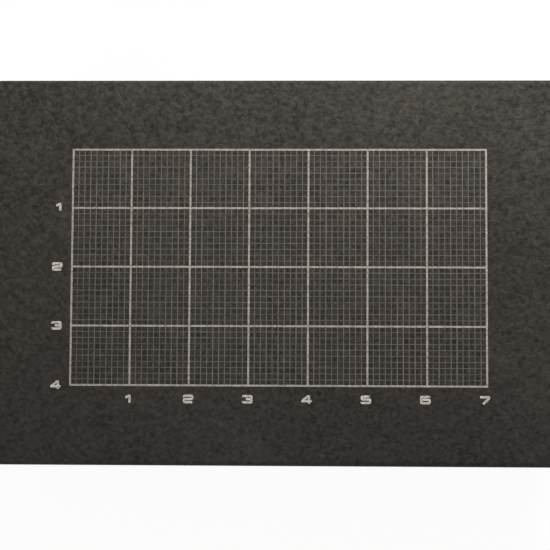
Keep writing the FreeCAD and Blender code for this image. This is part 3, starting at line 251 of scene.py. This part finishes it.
# %% Cream ink
def cream_ink(name, bare, aged, fresh):
    ink = Finish(name, {"Specular IOR Level": 0.3})
    ink_cover = ink.spread(ink.noise(900, 4.0, 0.6), 0.3, 0.62)
    ink_age = ink.noise(30, 3.0)
    ink.shade({"Base Color": ink.blend(ink_cover, bare, ink.blend(ink_age, aged, fresh)),
               "Roughness": 0.62 - ink_cover * 0.12,
               "Normal": ink.bump(ink_cover, 0.03)})
    print(name, "nodes:", len(ink.tree.nodes))
    return ink


finishes["print_ink"] = cream_ink("print_ink", colour(106, 101, 94), colour(150, 145, 136),
                                  colour(163, 159, 149))
figure_ink = cream_ink("figure_ink", colour(132, 127, 118), colour(184, 179, 168), colour(199, 194, 184))

# %% [markdown]
# The panel under the lid is sprayed in a warm grey satin enamel. It is smooth, but sprayed paint dries with
# a faint orange-peel skin, and hands darken it round the controls. Shallow bump and a slow change of tone do
# both.

# %% Panel enamel
satin = Finish("panel_paint", {"Specular IOR Level": 0.45})
peel = satin.noise(620, 2.0)
hands = satin.spread(satin.noise(26, 4.0, 0.5), 0.4, 0.75)
satin_rub = satin.edges(0.5) * satin.spread(satin.noise(420, 3.0), 0.4, 0.6)
satin_tone = satin.blend(hands * 0.5, colour(171, 170, 160), colour(150, 147, 135))
satin.shade({"Base Color": satin.blend(satin_rub, satin_tone, colour(120, 118, 112)),
             "Roughness": 0.34 + hands * 0.14 + peel * 0.05,
             "Normal": satin.bump(peel, 0.03)})
finishes["panel_paint"] = satin
print("panel enamel nodes:", len(satin.tree.nodes))

# %% [markdown]
# Metals differ in colour and in how they were finished. Plated steel is dull with tiny cloudy crystals,
# bright nickel is nearly a mirror with hairline rubs, brass is warm and tarnishes in patches. One recipe
# takes the fresh colour, the tired colour and the polish, so that they stay a family.

# %% Plated steel, bright nickel, brass and spring wire
def metal(name, fresh, tired, polish, cloud_scale):
    made = Finish(name, {"Metallic": 1.0})
    cloud = made.spread(made.noise(cloud_scale, 5.0, 0.4), 0.35, 0.7)
    rubs = made.noise(240, 3.0, 0.0, made.stretched((14.0, 1.0, 1.0)))
    made.shade({"Base Color": made.blend(cloud, fresh, tired),
                "Roughness": polish + cloud * 0.14 + rubs * 0.08,
                "Normal": made.bump(rubs, 0.006)})
    finishes[name] = made
    print(name, "polish", polish)


metal("steel", colour(202, 203, 200), colour(164, 163, 156), 0.26, 130)
metal("bright", colour(228, 226, 220), colour(205, 200, 190), 0.06, 60)
metal("brass", colour(212, 176, 104), colour(158, 122, 66), 0.2, 160)
metal("spring_steel", colour(168, 170, 172), colour(120, 120, 120), 0.24, 200)

# %% [markdown]
# Moulded parts take their look from what was pressed into the mould. Black bakelite is glossy with a faint
# brown flow, phenolic board shows its paper fibre, ivory and red plastics are plain and a little waxy, and
# rubber feet are matt and powdery. Again one recipe does, with the two tones, the grain and the gloss as its
# values.

# %% Bakelite, phenolic, ivory, red plastic and rubber
def moulding(name, deep, pale, grain_scale, gloss, skin_mm, stretch=(1.0, 1.0, 1.0), coat=0.0):
    made = Finish(name, {"Coat Weight": coat, "Coat Roughness": 0.08})
    flow = made.spread(made.noise(grain_scale, 4.0, 1.2, made.stretched(stretch)), 0.35, 0.7)
    skin = made.noise(1500, 3.0)
    thumb = made.spread(made.noise(70, 3.0), 0.5, 0.75)
    rubbed = made.edges(0.5) * made.spread(skin, 0.4, 0.6)
    tone = made.blend(flow, deep, pale)
    made.shade({"Base Color": made.blend(rubbed * 0.35, tone, colour(176, 170, 158)),
                "Roughness": gloss + thumb * 0.12 + skin * 0.06,
                "Normal": made.bump(skin, skin_mm)})
    finishes[name] = made
    print(name, "gloss", gloss)


moulding("bakelite", colour(22, 19, 17), colour(38, 30, 25), 120, 0.2, 0.008, coat=0.3)
moulding("phenolic", colour(66, 40, 24), colour(104, 68, 40), 420, 0.4, 0.02, (1.0, 5.0, 5.0))
moulding("ivory", colour(214, 202, 170), colour(230, 220, 194), 90, 0.26, 0.006, coat=0.2)
moulding("red_plastic", colour(150, 24, 18), colour(178, 36, 26), 90, 0.22, 0.006, coat=0.3)
moulding("rubber", colour(26, 26, 25), colour(44, 43, 41), 300, 0.7, 0.05)
moulding("needle_paint", colour(18, 16, 15), colour(30, 27, 25), 300, 0.4, 0.004)

# %% [markdown]
# The meter has a paper dial behind a clear pane. Old card yellows unevenly and has a tooth that catches the
# light. The pane is not perfectly clean: where it has been wiped it is clear, and elsewhere it is a little
# hazy. The pilot lamp's jewel is a cast red glass.

# %% Dial card, pane and jewel
card = Finish("dial_card", {"Specular IOR Level": 0.2})
tooth = card.noise(1900, 4.0)
yellowing = card.spread(card.noise(40, 4.0, 0.6), 0.35, 0.75)
card_age = yellowing * 0.7 + tooth * 0.15
card.shade({"Base Color": card.blend(card_age, colour(240, 233, 211), colour(222, 208, 172)),
            "Roughness": 0.72 + tooth * 0.12,
            "Normal": card.bump(tooth, 0.02)})
finishes["dial_card"] = card

pane = Finish("pane", {"Base Color": WHITE, "Transmission Weight": 1.0, "IOR": 1.49})
haze = pane.spread(pane.noise(60, 4.0, 0.8), 0.5, 0.85)
pane.shade({"Roughness": haze * 0.1,
            "Normal": pane.bump(pane.noise(45, 2.0), 0.02)})
finishes["pane"] = pane

jewel = Finish("jewel", {"Transmission Weight": 0.7, "IOR": 1.52, "Coat Weight": 0.4})
cast = jewel.noise(160, 3.0, 0.5)
jewel.shade({"Base Color": jewel.blend(cast, colour(196, 22, 16), colour(228, 46, 30)),
             "Roughness": 0.06 + cast * 0.1,
             "Normal": jewel.bump(cast, 0.05)})
finishes["jewel"] = jewel
print("card, pane and jewel are ready")

# %% [markdown]
# Under the panel the transformer shows stacked iron sheets, dipped in varnish, and a coil wrapped in tape.
# The stack and the wraps both run in thin level layers, so a wave of bands along the height draws them, and
# noise breaks the bands so that they do not look turned on a lathe.

# %% Iron stack and taped winding
def layered(name, dark, light, layers_per_metre, gloss, metallic, depth_mm):
    made = Finish(name, {"Metallic": metallic})
    bands = made.node("ShaderNodeTexWave", {"wave_type": "BANDS", "bands_direction": "Z"},
                      {"Vector": made.place, "Scale": layers_per_metre, "Distortion": 0.8, "Detail": 2.0}, 1)
    drips = made.spread(made.noise(90, 5.0, 0.8), 0.4, 0.7)
    made.shade({"Base Color": made.blend(bands * 0.6 + drips * 0.4, dark, light),
                "Roughness": gloss + drips * 0.2,
                "Normal": made.bump(bands, depth_mm)})
    finishes[name] = made
    print(name, "layers per metre", layers_per_metre)


layered("iron", colour(52, 50, 50), colour(98, 94, 90), 320, 0.4, 0.6, 0.1)
layered("winding", colour(112, 70, 30), colour(168, 118, 60), 110, 0.42, 0.0, 0.1)

# %% [markdown]
# Each solid in the record names the slot that its finish belongs to, so one loop dresses them all, and a
# solid that had no finish would stop the script here instead of turning up grey in the picture.

# %% Dress the solids
for row in frame["record"]["subparts"]:
    solid = nodes[row["node"]]
    solid.data.materials.clear()
    solid.data.materials.append(finishes[row["material_slot"]].material)

# %% [markdown]
# Print is a thin layer of ink with a real edge. It could be painted in a texture, but then it would blur
# close up and be lost from the exported mesh. So each printed stroke is a flat ribbon a few hundredths of a
# millimetre thick: it follows a line of points, turns its corners with a mitre, and is closed on every side.
# It starts a little under the surface that it lies on, so that no gap shows.

# %% Ribbons of ink
SUNK = 0.02
SHARPEST_MITRE = 0.4


def stroke_edges(points, width, closed):
    """The left and right edge of a stroke of that width along the points."""
    count = len(points)
    pairs = []
    for i, here in enumerate(points):
        runs = []
        if closed or i > 0:
            runs.append((here - points[i - 1]).normalized())
        if closed or i < count - 1:
            runs.append((points[(i + 1) % count] - here).normalized())
        along = (runs[0] + runs[-1]).normalized()
        mitre = 1 / max(SHARPEST_MITRE, along.dot(runs[0]))
        across = Vector((-along.y, along.x)) * (width / 2 * mitre)
        pairs.append((here + across, here - across))
    return pairs


class Printing:
    """Strokes of one ink, gathered into one mesh."""

    def __init__(self, name, low_mm, high_mm):
        self.name = name
        self.low = low_mm
        self.high = high_mm
        self.corners = []
        self.faces = []

    def stroke(self, points, width, closed=False, sink=0.0):
        """One ribbon along the points; sink lowers its top, so that it can cross another one cleanly."""
        points = [Vector(p) for p in points]
        first = len(self.corners)
        for pair in stroke_edges(points, width, closed):
            for side in pair:
                for height in (self.low, self.high - sink):
                    self.corners.append((side.x * MM, side.y * MM, height * MM))
        count = len(points)
        for i in range(count if closed else count - 1):
            a = first + 4 * i
            b = first + 4 * ((i + 1) % count)
            self.faces += [(a + 1, a + 3, b + 3, b + 1), (a, b, b + 2, a + 2),
                           (a, a + 1, b + 1, b), (a + 2, b + 2, b + 3, a + 3)]
        if not closed:
            last = first + 4 * (count - 1)
            self.faces += [(first, first + 2, first + 3, first + 1), (last, last + 1, last + 3, last + 2)]

    def lay(self, body, finish):
        mesh = bpy.data.meshes.new(self.name)
        mesh.from_pydata(self.corners, [], self.faces)
        mesh.materials.append(finish.material)
        piece = bpy.data.objects.new(self.name, mesh)
        bpy.context.scene.collection.objects.link(piece)
        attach(piece, body)
        print(self.name, "faces:", len(self.faces))


# %% [markdown]
# The lid is ruled like a drawing board: heavy lines an inch apart, and nine hairlines between each pair. The
# heavy lines are solids already. The hairlines are so fine that the camera barely sees them one by one;
# together they turn each square a shade paler, which is what the eye notices first.

# %% Tenths between the heavy lines
INCH = 25.4
COLUMNS = 7
ROWS = 4
TENTHS = 10
HAIRLINE = 0.34
UPRIGHT_THICK = 0.04
LEVEL_THICK = 0.045
LID_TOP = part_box("lid_shell")[1].z / MM
grid_left = (grid_low.x + grid_high.x) / 2 / MM - COLUMNS * INCH / 2
grid_bottom = (grid_low.y + grid_high.y) / 2 / MM - ROWS * INCH / 2
grid_right = grid_left + COLUMNS * INCH
grid_top = grid_bottom + ROWS * INCH
upright = Printing("lid_hairlines_upright", LID_TOP - SUNK, LID_TOP + UPRIGHT_THICK)
level = Printing("lid_hairlines_level", LID_TOP - SUNK, LID_TOP + LEVEL_THICK)
for tenth in range(COLUMNS * TENTHS):
    if tenth % TENTHS:
        x = grid_left + tenth * INCH / TENTHS
        upright.stroke([(x, grid_bottom), (x, grid_top)], HAIRLINE)
for tenth in range(ROWS * TENTHS):
    if tenth % TENTHS:
        y = grid_bottom + tenth * INCH / TENTHS
        level.stroke([(grid_left, y), (grid_right, y)], HAIRLINE)


def thin_ink(name, stretch, full):
    """Ink so thin that the enamel shows through it, more on one line than on the next."""
    made = Finish(name, {"Specular IOR Level": 0.24})
    by_line = made.spread(made.noise(1.0, 2.0, 0.0, made.stretched(stretch)), 0.3, 0.7)
    patches = made.spread(made.noise(700, 4.0, 0.6), 0.3, 0.7)
    made.shade({"Base Color": made.blend(by_line * 0.6 + patches * 0.4, colour(46, 43, 39), full),
                "Roughness": 0.58 - patches * 0.1,
                "Normal": made.bump(patches, 0.1)})
    return made


upright.lay("lid", thin_ink("thin_ink_upright", (410.0, 16.0, 1.0), colour(118, 112, 103)))
level.lay("lid", thin_ink("thin_ink_level", (16.0, 410.0, 1.0), colour(96, 92, 86)))

# %% [markdown]
# The figures are wide, square-shouldered and bold. A text object would bring its own typeface, so each one
# is drawn here as a sign painter would, in a few strokes inside a box one unit wide and one high, with
# the corners eased. The same strokes serve the lid, the panel and the meter.

# %% Figures drawn in strokes
FIGURES = {
    "0": [[(0, 0), (1, 0), (1, 1), (0, 1), (0, 0)]],
    "1": [[(0, 0.7), (0.5, 1), (0.5, -0.16)]],
    "2": [[(0, 0.76), (0, 1), (1, 1), (1, 0.52), (0, 0.46), (0, 0), (1, 0)]],
    "3": [[(0, 0.8), (0, 1), (1, 1), (1, 0), (0, 0), (0, 0.2)], [(0.32, 0.52), (1, 0.52)]],
    "4": [[(0.8, -0.16), (0.8, 1.16)], [(0.74, 1.06), (0.02, 0.33)], [(-0.12, 0.25), (1.12, 0.25)]],
    "5": [[(0.96, 1), (0, 1), (0, 0.56), (1, 0.56), (1, 0), (0, 0), (0, 0.18)]],
    "6": [[(1, 0.82), (1, 1), (0, 1), (0, 0), (1, 0), (1, 0.56), (0.04, 0.56)]],
    "7": [[(-0.08, 1), (1, 1), (1, 0.84), (0.28, -0.12)]],
    "8": [[(0, 0), (1, 0), (1, 1), (0, 1), (0, 0)], [(0.04, 0.52), (0.96, 0.52)]],
    "9": [[(0, 0.18), (0, 0), (1, 0), (1, 1), (0, 1), (0, 0.44), (0.96, 0.44)]],
    "O": [[(0, 0), (1, 0), (1, 1), (0, 1), (0, 0)]],
    "N": [[(0, 0), (0, 1), (1, 0), (1, 1)]],
    "F": [[(0, 0), (0, 1), (1, 1)], [(0, 0.52), (0.86, 0.52)]],
}
NARROW = {"1": 0.5}
EASE = 0.2
GAP = 0.34
CROSSING_STEP = 0.008
LONGEST_EASE = 0.45
ROUNDNESS = 0.6


def eased(points, ease):
    """The same line with each corner turned in three short steps."""
    turned = [points[0]]
    for before, here, after in zip(points, points[1:], points[2:]):
        into = min(ease, (here - before).length * LONGEST_EASE)
        out = min(ease, (after - here).length * LONGEST_EASE)
        start = here + (before - here).normalized() * into
        end = here + (after - here).normalized() * out
        bend = start.lerp(here, ROUNDNESS).lerp(here.lerp(end, 1 - ROUNDNESS), 0.5)
        turned += [start, bend, end]
    return turned + [points[-1]]


def write(printing, text, x, y, size, weight, turn_deg=0.0):
    """Text with its middle at x, y: size is the width and height of one figure, weight its stroke."""
    wide, high = size[0] - weight, size[1] - weight
    widths = [NARROW.get(sign, 1.0) * wide for sign in text]
    gap = GAP * size[0]
    pen = -(sum(widths) + (len(text) - 1) * (gap + weight)) / 2
    cosine, sine = math.cos(math.radians(turn_deg)), math.sin(math.radians(turn_deg))
    for sign, width in zip(text, widths):
        for order, line in enumerate(FIGURES[sign]):
            flat = [Vector((pen + px * wide, (py - 0.5) * high)) for px, py in line]
            flat = eased(flat, EASE * high)
            closed = (flat[0] - flat[-1]).length < 1e-6
            spun = [(x + p.x * cosine - p.y * sine, y + p.x * sine + p.y * cosine) for p in flat]
            printing.stroke(spun[:-1] if closed else spun, weight, closed, order * CROSSING_STEP)
        pen += width + gap + weight


# %% [markdown]
# The figures stand on the heavy lines: 1 to 4 down the left side, 1 to 7 along the foot. The row along the
# foot is spaced a hair closer than the lines, and each 1 stands a little off its place.

# %% Lid figures
FIGURE_SIZE = (4.5, 3.65)
FIGURE_WEIGHT = 0.98
FIGURE_THICK = 0.08
FOOT_STEP = 25.24
FOOT_SHIFT = 0.16
SIDE_ROOM = 6.3
FOOT_ROOM = 5.8
ONE_UP = 0.5
ONE_LEFT = 0.7
lid_figures = Printing("lid_figures", LID_TOP - SUNK, LID_TOP + FIGURE_THICK)
for number in range(1, ROWS + 1):
    up = ONE_UP if number == 1 else 0
    y = grid_top - number * INCH + up
    write(lid_figures, str(number), grid_left - SIDE_ROOM, y, FIGURE_SIZE, FIGURE_WEIGHT)
for number in range(1, COLUMNS + 1):
    left = ONE_LEFT if number == 1 else 0
    x = grid_left + number * FOOT_STEP + FOOT_SHIFT - left
    write(lid_figures, str(number), x, grid_bottom - FOOT_ROOM, FIGURE_SIZE, FIGURE_WEIGHT)
lid_figures.lay("lid", figure_ink)

# %% [markdown]
# Under the lid the panel carries its own print, in black on grey: a scale round each knob, a number by each
# lever, a ring round each tube socket, and ON and OFF beside the switch. The knobs turn 300 degrees, so
# ten equal divisions of that sweep give the scale.

# %% Panel ink
black_ink = Finish("panel_ink", {"Specular IOR Level": 0.3})
black_cover = black_ink.spread(black_ink.noise(1100, 3.0), 0.3, 0.55)
black_ink.shade({"Base Color": black_ink.blend(black_cover, colour(66, 64, 58), colour(24, 23, 22)),
                 "Roughness": 0.55 - black_cover * 0.12,
                 "Normal": black_ink.bump(black_cover, 0.02)})
PANEL_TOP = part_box("control_panel")[1].z / MM
PANEL_PRINT_THICK = 0.05
panel_print = Printing("panel_print", PANEL_TOP - SUNK, PANEL_TOP + PANEL_PRINT_THICK)


def middle(node):
    """The middle of a solid seen from above, in mm."""
    low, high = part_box(node)
    return (low.x + high.x) / 2 / MM, (low.y + high.y) / 2 / MM


def ray(x, y, radius, turn_deg):
    turn = math.radians(turn_deg)
    return x + radius * math.cos(turn), y + radius * math.sin(turn)


# %% Knob scales
KNOB_START_DEG = 240.0
KNOB_SWEEP_DEG = 300.0
DIVISIONS = 10
TICK_START = 16.2
LONG_TICK = (18.2, 0.5)
SHORT_TICK = (17.3, 0.3)
NUMBER_RADIUS = 20.6
SMALL_SIZE = (2.0, 2.2)
SMALL_WEIGHT = 0.4
for knob in ("filament_knob", "load_knob", "bias_knob"):
    x, y = middle(knob)
    for step in range(DIVISIONS * 2 + 1):
        turn = KNOB_START_DEG - KNOB_SWEEP_DEG * step / (DIVISIONS * 2)
        long = step % 2 == 0
        tick_end, tick_width = LONG_TICK if long else SHORT_TICK
        panel_print.stroke([ray(x, y, TICK_START, turn), ray(x, y, tick_end, turn)], tick_width)
        if long:
            write(panel_print, str(step // 2), *ray(x, y, NUMBER_RADIUS, turn), SMALL_SIZE, SMALL_WEIGHT)
print("knob scales drawn")

# %% Lever numbers, socket rings and switch words
LEVERS = 5
WORD_SIZE = (2.6, 3.0)
WORD_WEIGHT = 0.5
LEVER_NUMBER_DROP = 11.5
RING_ROOM = 1.2
RING_WIDTH = 0.5
RING_STEPS = 72
ON_RISE = 12.0
OFF_DROP = 14.5
for lever in range(1, LEVERS + 1):
    x, y = middle(f"lever_{lever}")
    write(panel_print, str(lever), x, y - LEVER_NUMBER_DROP, WORD_SIZE, WORD_WEIGHT)
for socket in ("octal_socket", "twelve_pin_socket", "nine_pin_socket", "seven_pin_socket"):
    x, y = middle(socket)
    low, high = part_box(socket)
    ring = (high.x - low.x) / 2 / MM + RING_ROOM
    turns = [360 * step / RING_STEPS for step in range(RING_STEPS)]
    panel_print.stroke([ray(x, y, ring, turn) for turn in turns], RING_WIDTH, True)
switch_x, switch_y = middle("toggle_body")
write(panel_print, "ON", switch_x, switch_y + ON_RISE, WORD_SIZE, WORD_WEIGHT)
write(panel_print, "OFF", switch_x, switch_y - OFF_DROP, WORD_SIZE, WORD_WEIGHT)
panel_print.lay("case", black_ink)

# %% [markdown]
# A tester's meter tells good from bad at a glance: a red arc at the low end, a green arc at the high end,
# and a plain scale of 0 to 100 over them. The needle turns a quarter circle, from 135 degrees to 45.

# %% Meter scale
DIAL_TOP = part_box("meter_dial")[1].z / MM
PIVOT = middle("meter_zero_screw")
SCALE_RADIUS = 35.5
SCALE_START_DEG = 135.0
SCALE_SWEEP_DEG = 90.0
SCALE_STEPS = 50
SCALE_LINE = 0.35
SCALE_THICK = 0.04
MAIN_TICK = (3.6, 0.4)
HALF_TICK = (2.6, 0.25)
FINE_TICK = (1.6, 0.25)
DIAL_FIGURE_OUT = 6.0
DIAL_FIGURE_SIZE = (1.9, 2.2)
DIAL_FIGURE_WEIGHT = 0.38
ARC_STEPS = 24


def dial_turn(share):
    return SCALE_START_DEG - SCALE_SWEEP_DEG * share


def dial_arc(printing, radius, width, start, end):
    shares = [start + (end - start) * step / ARC_STEPS for step in range(ARC_STEPS + 1)]
    printing.stroke([ray(*PIVOT, radius, dial_turn(share)) for share in shares], width)


meter_scale = Printing("meter_scale", DIAL_TOP - SUNK, DIAL_TOP + SCALE_THICK)
dial_arc(meter_scale, SCALE_RADIUS, SCALE_LINE, 0.0, 1.0)
for step in range(SCALE_STEPS + 1):
    turn = dial_turn(step / SCALE_STEPS)
    reach, width = MAIN_TICK if step % 10 == 0 else HALF_TICK if step % 5 == 0 else FINE_TICK
    meter_scale.stroke([ray(*PIVOT, SCALE_RADIUS, turn), ray(*PIVOT, SCALE_RADIUS + reach, turn)], width)
    if step % 10 == 0:
        x, y = ray(*PIVOT, SCALE_RADIUS + DIAL_FIGURE_OUT, turn)
        write(meter_scale, str(step * 2), x, y, DIAL_FIGURE_SIZE, DIAL_FIGURE_WEIGHT, turn - 90)
meter_scale.lay("case", black_ink)


# %% Meter zones
ZONE_INSET = 3.2
ZONE_WIDTH = 3.6
ZONE_THICK = 0.03


def zone(name, tone, start, end):
    finish = Finish(name, {"Specular IOR Level": 0.25})
    cover = finish.noise(1200, 3.0)
    finish.shade({"Base Color": finish.blend(cover * 0.4, tone, colour(232, 222, 194)),
                  "Roughness": 0.6 + cover * 0.1,
                  "Normal": finish.bump(cover, 0.01)})
    arc = Printing(name, DIAL_TOP - SUNK, DIAL_TOP + ZONE_THICK)
    dial_arc(arc, SCALE_RADIUS - ZONE_INSET, ZONE_WIDTH, start, end)
    arc.lay("case", finish)


zone("meter_zone_low", colour(172, 40, 28), 0.0, 0.4)
zone("meter_zone_middle", colour(208, 160, 50), 0.42, 0.54)
zone("meter_zone_high", colour(44, 112, 62), 0.56, 1.0)

# %% [markdown]
# Under each push button a small coil spring gives the return. The coil is wound here as a curve and turned
# into a mesh. It stands in the place of the solid spring and is no larger.

# %% Button springs
SPRING_TURNS = 4
SPRING_WIRE = 0.4
TURN_POINTS = 24
SPRING_ROOM = 0.05


def wound_spring(button):
    """A coil in the place of the button's solid spring."""
    low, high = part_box(f"{button}_button_spring")
    x, y = (low.x + high.x) / 2, (low.y + high.y) / 2
    radius = (high.x - low.x) / 2 - SPRING_WIRE * MM
    start = low.z + SPRING_WIRE * MM
    rise = high.z - SPRING_WIRE * MM - SPRING_ROOM * MM - start
    line = bpy.data.curves.new(f"{button}_spring_line", "CURVE")
    line.dimensions = "3D"
    line.bevel_depth = SPRING_WIRE * MM
    line.use_fill_caps = True
    run = line.splines.new("POLY")
    count = SPRING_TURNS * TURN_POINTS
    run.points.add(count)
    for i, point in enumerate(run.points):
        turn = 2 * math.pi * i / TURN_POINTS
        point.co = (x + radius * math.cos(turn), y + radius * math.sin(turn), start + rise * i / count, 1.0)
    guide = bpy.data.objects.new(f"{button}_spring_guide", line)
    mesh = bpy.data.meshes.new_from_object(guide)
    bpy.data.objects.remove(guide)
    mesh.materials.clear()
    mesh.materials.append(finishes["spring_steel"].material)
    piece = bpy.data.objects.new(f"{button}_spring_coil", mesh)
    bpy.context.scene.collection.objects.link(piece)
    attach(piece, "case")
    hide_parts(f"{button}_button_spring")
    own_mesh(piece)


wound_spring("test")
wound_spring("leakage")

# %% [markdown]
# Each knob has a groove cut in its crown, filled with white paint, that points at the scale. The fill lies
# in the groove a little below the rim, and turns with its knob.

# %% Knob pointers
white_fill = Finish("pointer_fill", {"Specular IOR Level": 0.35})
grime = white_fill.spread(white_fill.noise(900, 4.0), 0.45, 0.75)
white_fill.shade({"Base Color": white_fill.blend(grime, colour(232, 229, 218), colour(170, 163, 146)),
                  "Roughness": 0.45 + grime * 0.2,
                  "Normal": white_fill.bump(grime, 0.02)})
GROOVE_DEPTH = 0.5
FILL_DROP = 0.12
FILL_START = 5.3
FILL_END = 9.9
FILL_WIDTH = 0.98
for knob in ("filament", "load", "bias"):
    x, y = middle(f"{knob}_knob")
    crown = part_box(f"{knob}_knob")[1].z / MM
    pointer = Printing(f"{knob}_pointer", crown - GROOVE_DEPTH, crown - FILL_DROP)
    pointer.stroke([ray(x, y, FILL_START, KNOB_START_DEG), ray(x, y, FILL_END, KNOB_START_DEG)], FILL_WIDTH)
    pointer.lay(f"{knob}_control", white_fill)

# %% [markdown]
# The tester stands on a plain white table under soft studio light. A soft lamp behind and to the right gives
# the enamel its sheen, brightest along the back of the lid. A wide lamp far off in front shows the front
# wall and, with the lid up, the panel. The world fills the shadows. A table that is only lit would come out
# a little grey, so the camera, mirrors and glass see it mostly glowing white, and what is left of its lit
# colour keeps the tester's shadow.

# %% Table
TABLE_HALF = 4.0
TABLE_GLOW = 0.94
table_mesh = bpy.data.meshes.new("table")
table_mesh.from_pydata([(-TABLE_HALF, -TABLE_HALF, 0), (TABLE_HALF, -TABLE_HALF, 0),
                        (TABLE_HALF, TABLE_HALF, 0), (-TABLE_HALF, TABLE_HALF, 0)], [], [(0, 1, 2, 3)])
table = bpy.data.objects.new("table", table_mesh)
bpy.context.scene.collection.objects.link(table)
white_top = Finish("white_top", {"Base Color": (0.92, 0.92, 0.91, 1.0), "Roughness": 0.8})
table_mesh.materials.append(white_top.material)
glow = white_top.node("ShaderNodeEmission", None, {"Color": WHITE, "Strength": 1.0})
lit = Wire(white_top, white_top.shader.outputs[0])
white_share = white_top.camera_mirror_or_glass() * TABLE_GLOW
table_look = white_top.node("ShaderNodeMixShader", None, {0: white_share, 1: lit, 2: glow})
white_top.feed(white_top.tree.nodes["Material Output"].inputs["Surface"], table_look)
print("table is", 2 * TABLE_HALF, "m across")

# %% World and lamps
FILL_STRENGTH = 0.27
world = bpy.data.worlds.new("studio")
bpy.context.scene.world = world
world.use_nodes = True
studio = Wiring(world.node_tree)
fill = studio.node("ShaderNodeBackground", None, {"Color": WHITE, "Strength": FILL_STRENGTH})
backdrop = studio.node("ShaderNodeBackground", None, {"Color": WHITE, "Strength": 1.0})
sky = studio.node("ShaderNodeMixShader", None, {0: studio.camera_mirror_or_glass(), 1: fill, 2: backdrop})
studio.feed(world.node_tree.nodes["World Output"].inputs["Surface"], sky)


def soft_lamp(name, place, aim, size, power):
    data = bpy.data.lights.new(name, "AREA")
    data.shape = "DISK"
    data.size = size
    data.energy = power
    lamp = bpy.data.objects.new(name, data)
    lamp.location = place
    lamp.rotation_euler = (Vector(aim) - Vector(place)).to_track_quat("-Z", "Y").to_euler()
    bpy.context.scene.collection.objects.link(lamp)
    print(name, "power", power)


LIT_PLACE = (0.0, 0.0, 0.1)
soft_lamp("back_lamp", (0.16, 0.38, 0.42), LIT_PLACE, 0.3, 3.5)
soft_lamp("front_lamp", (-1.0, -1.2, 1.2), LIT_PLACE, 1.0, 13.0)
bpy.context.scene.view_settings.view_transform = "Standard"
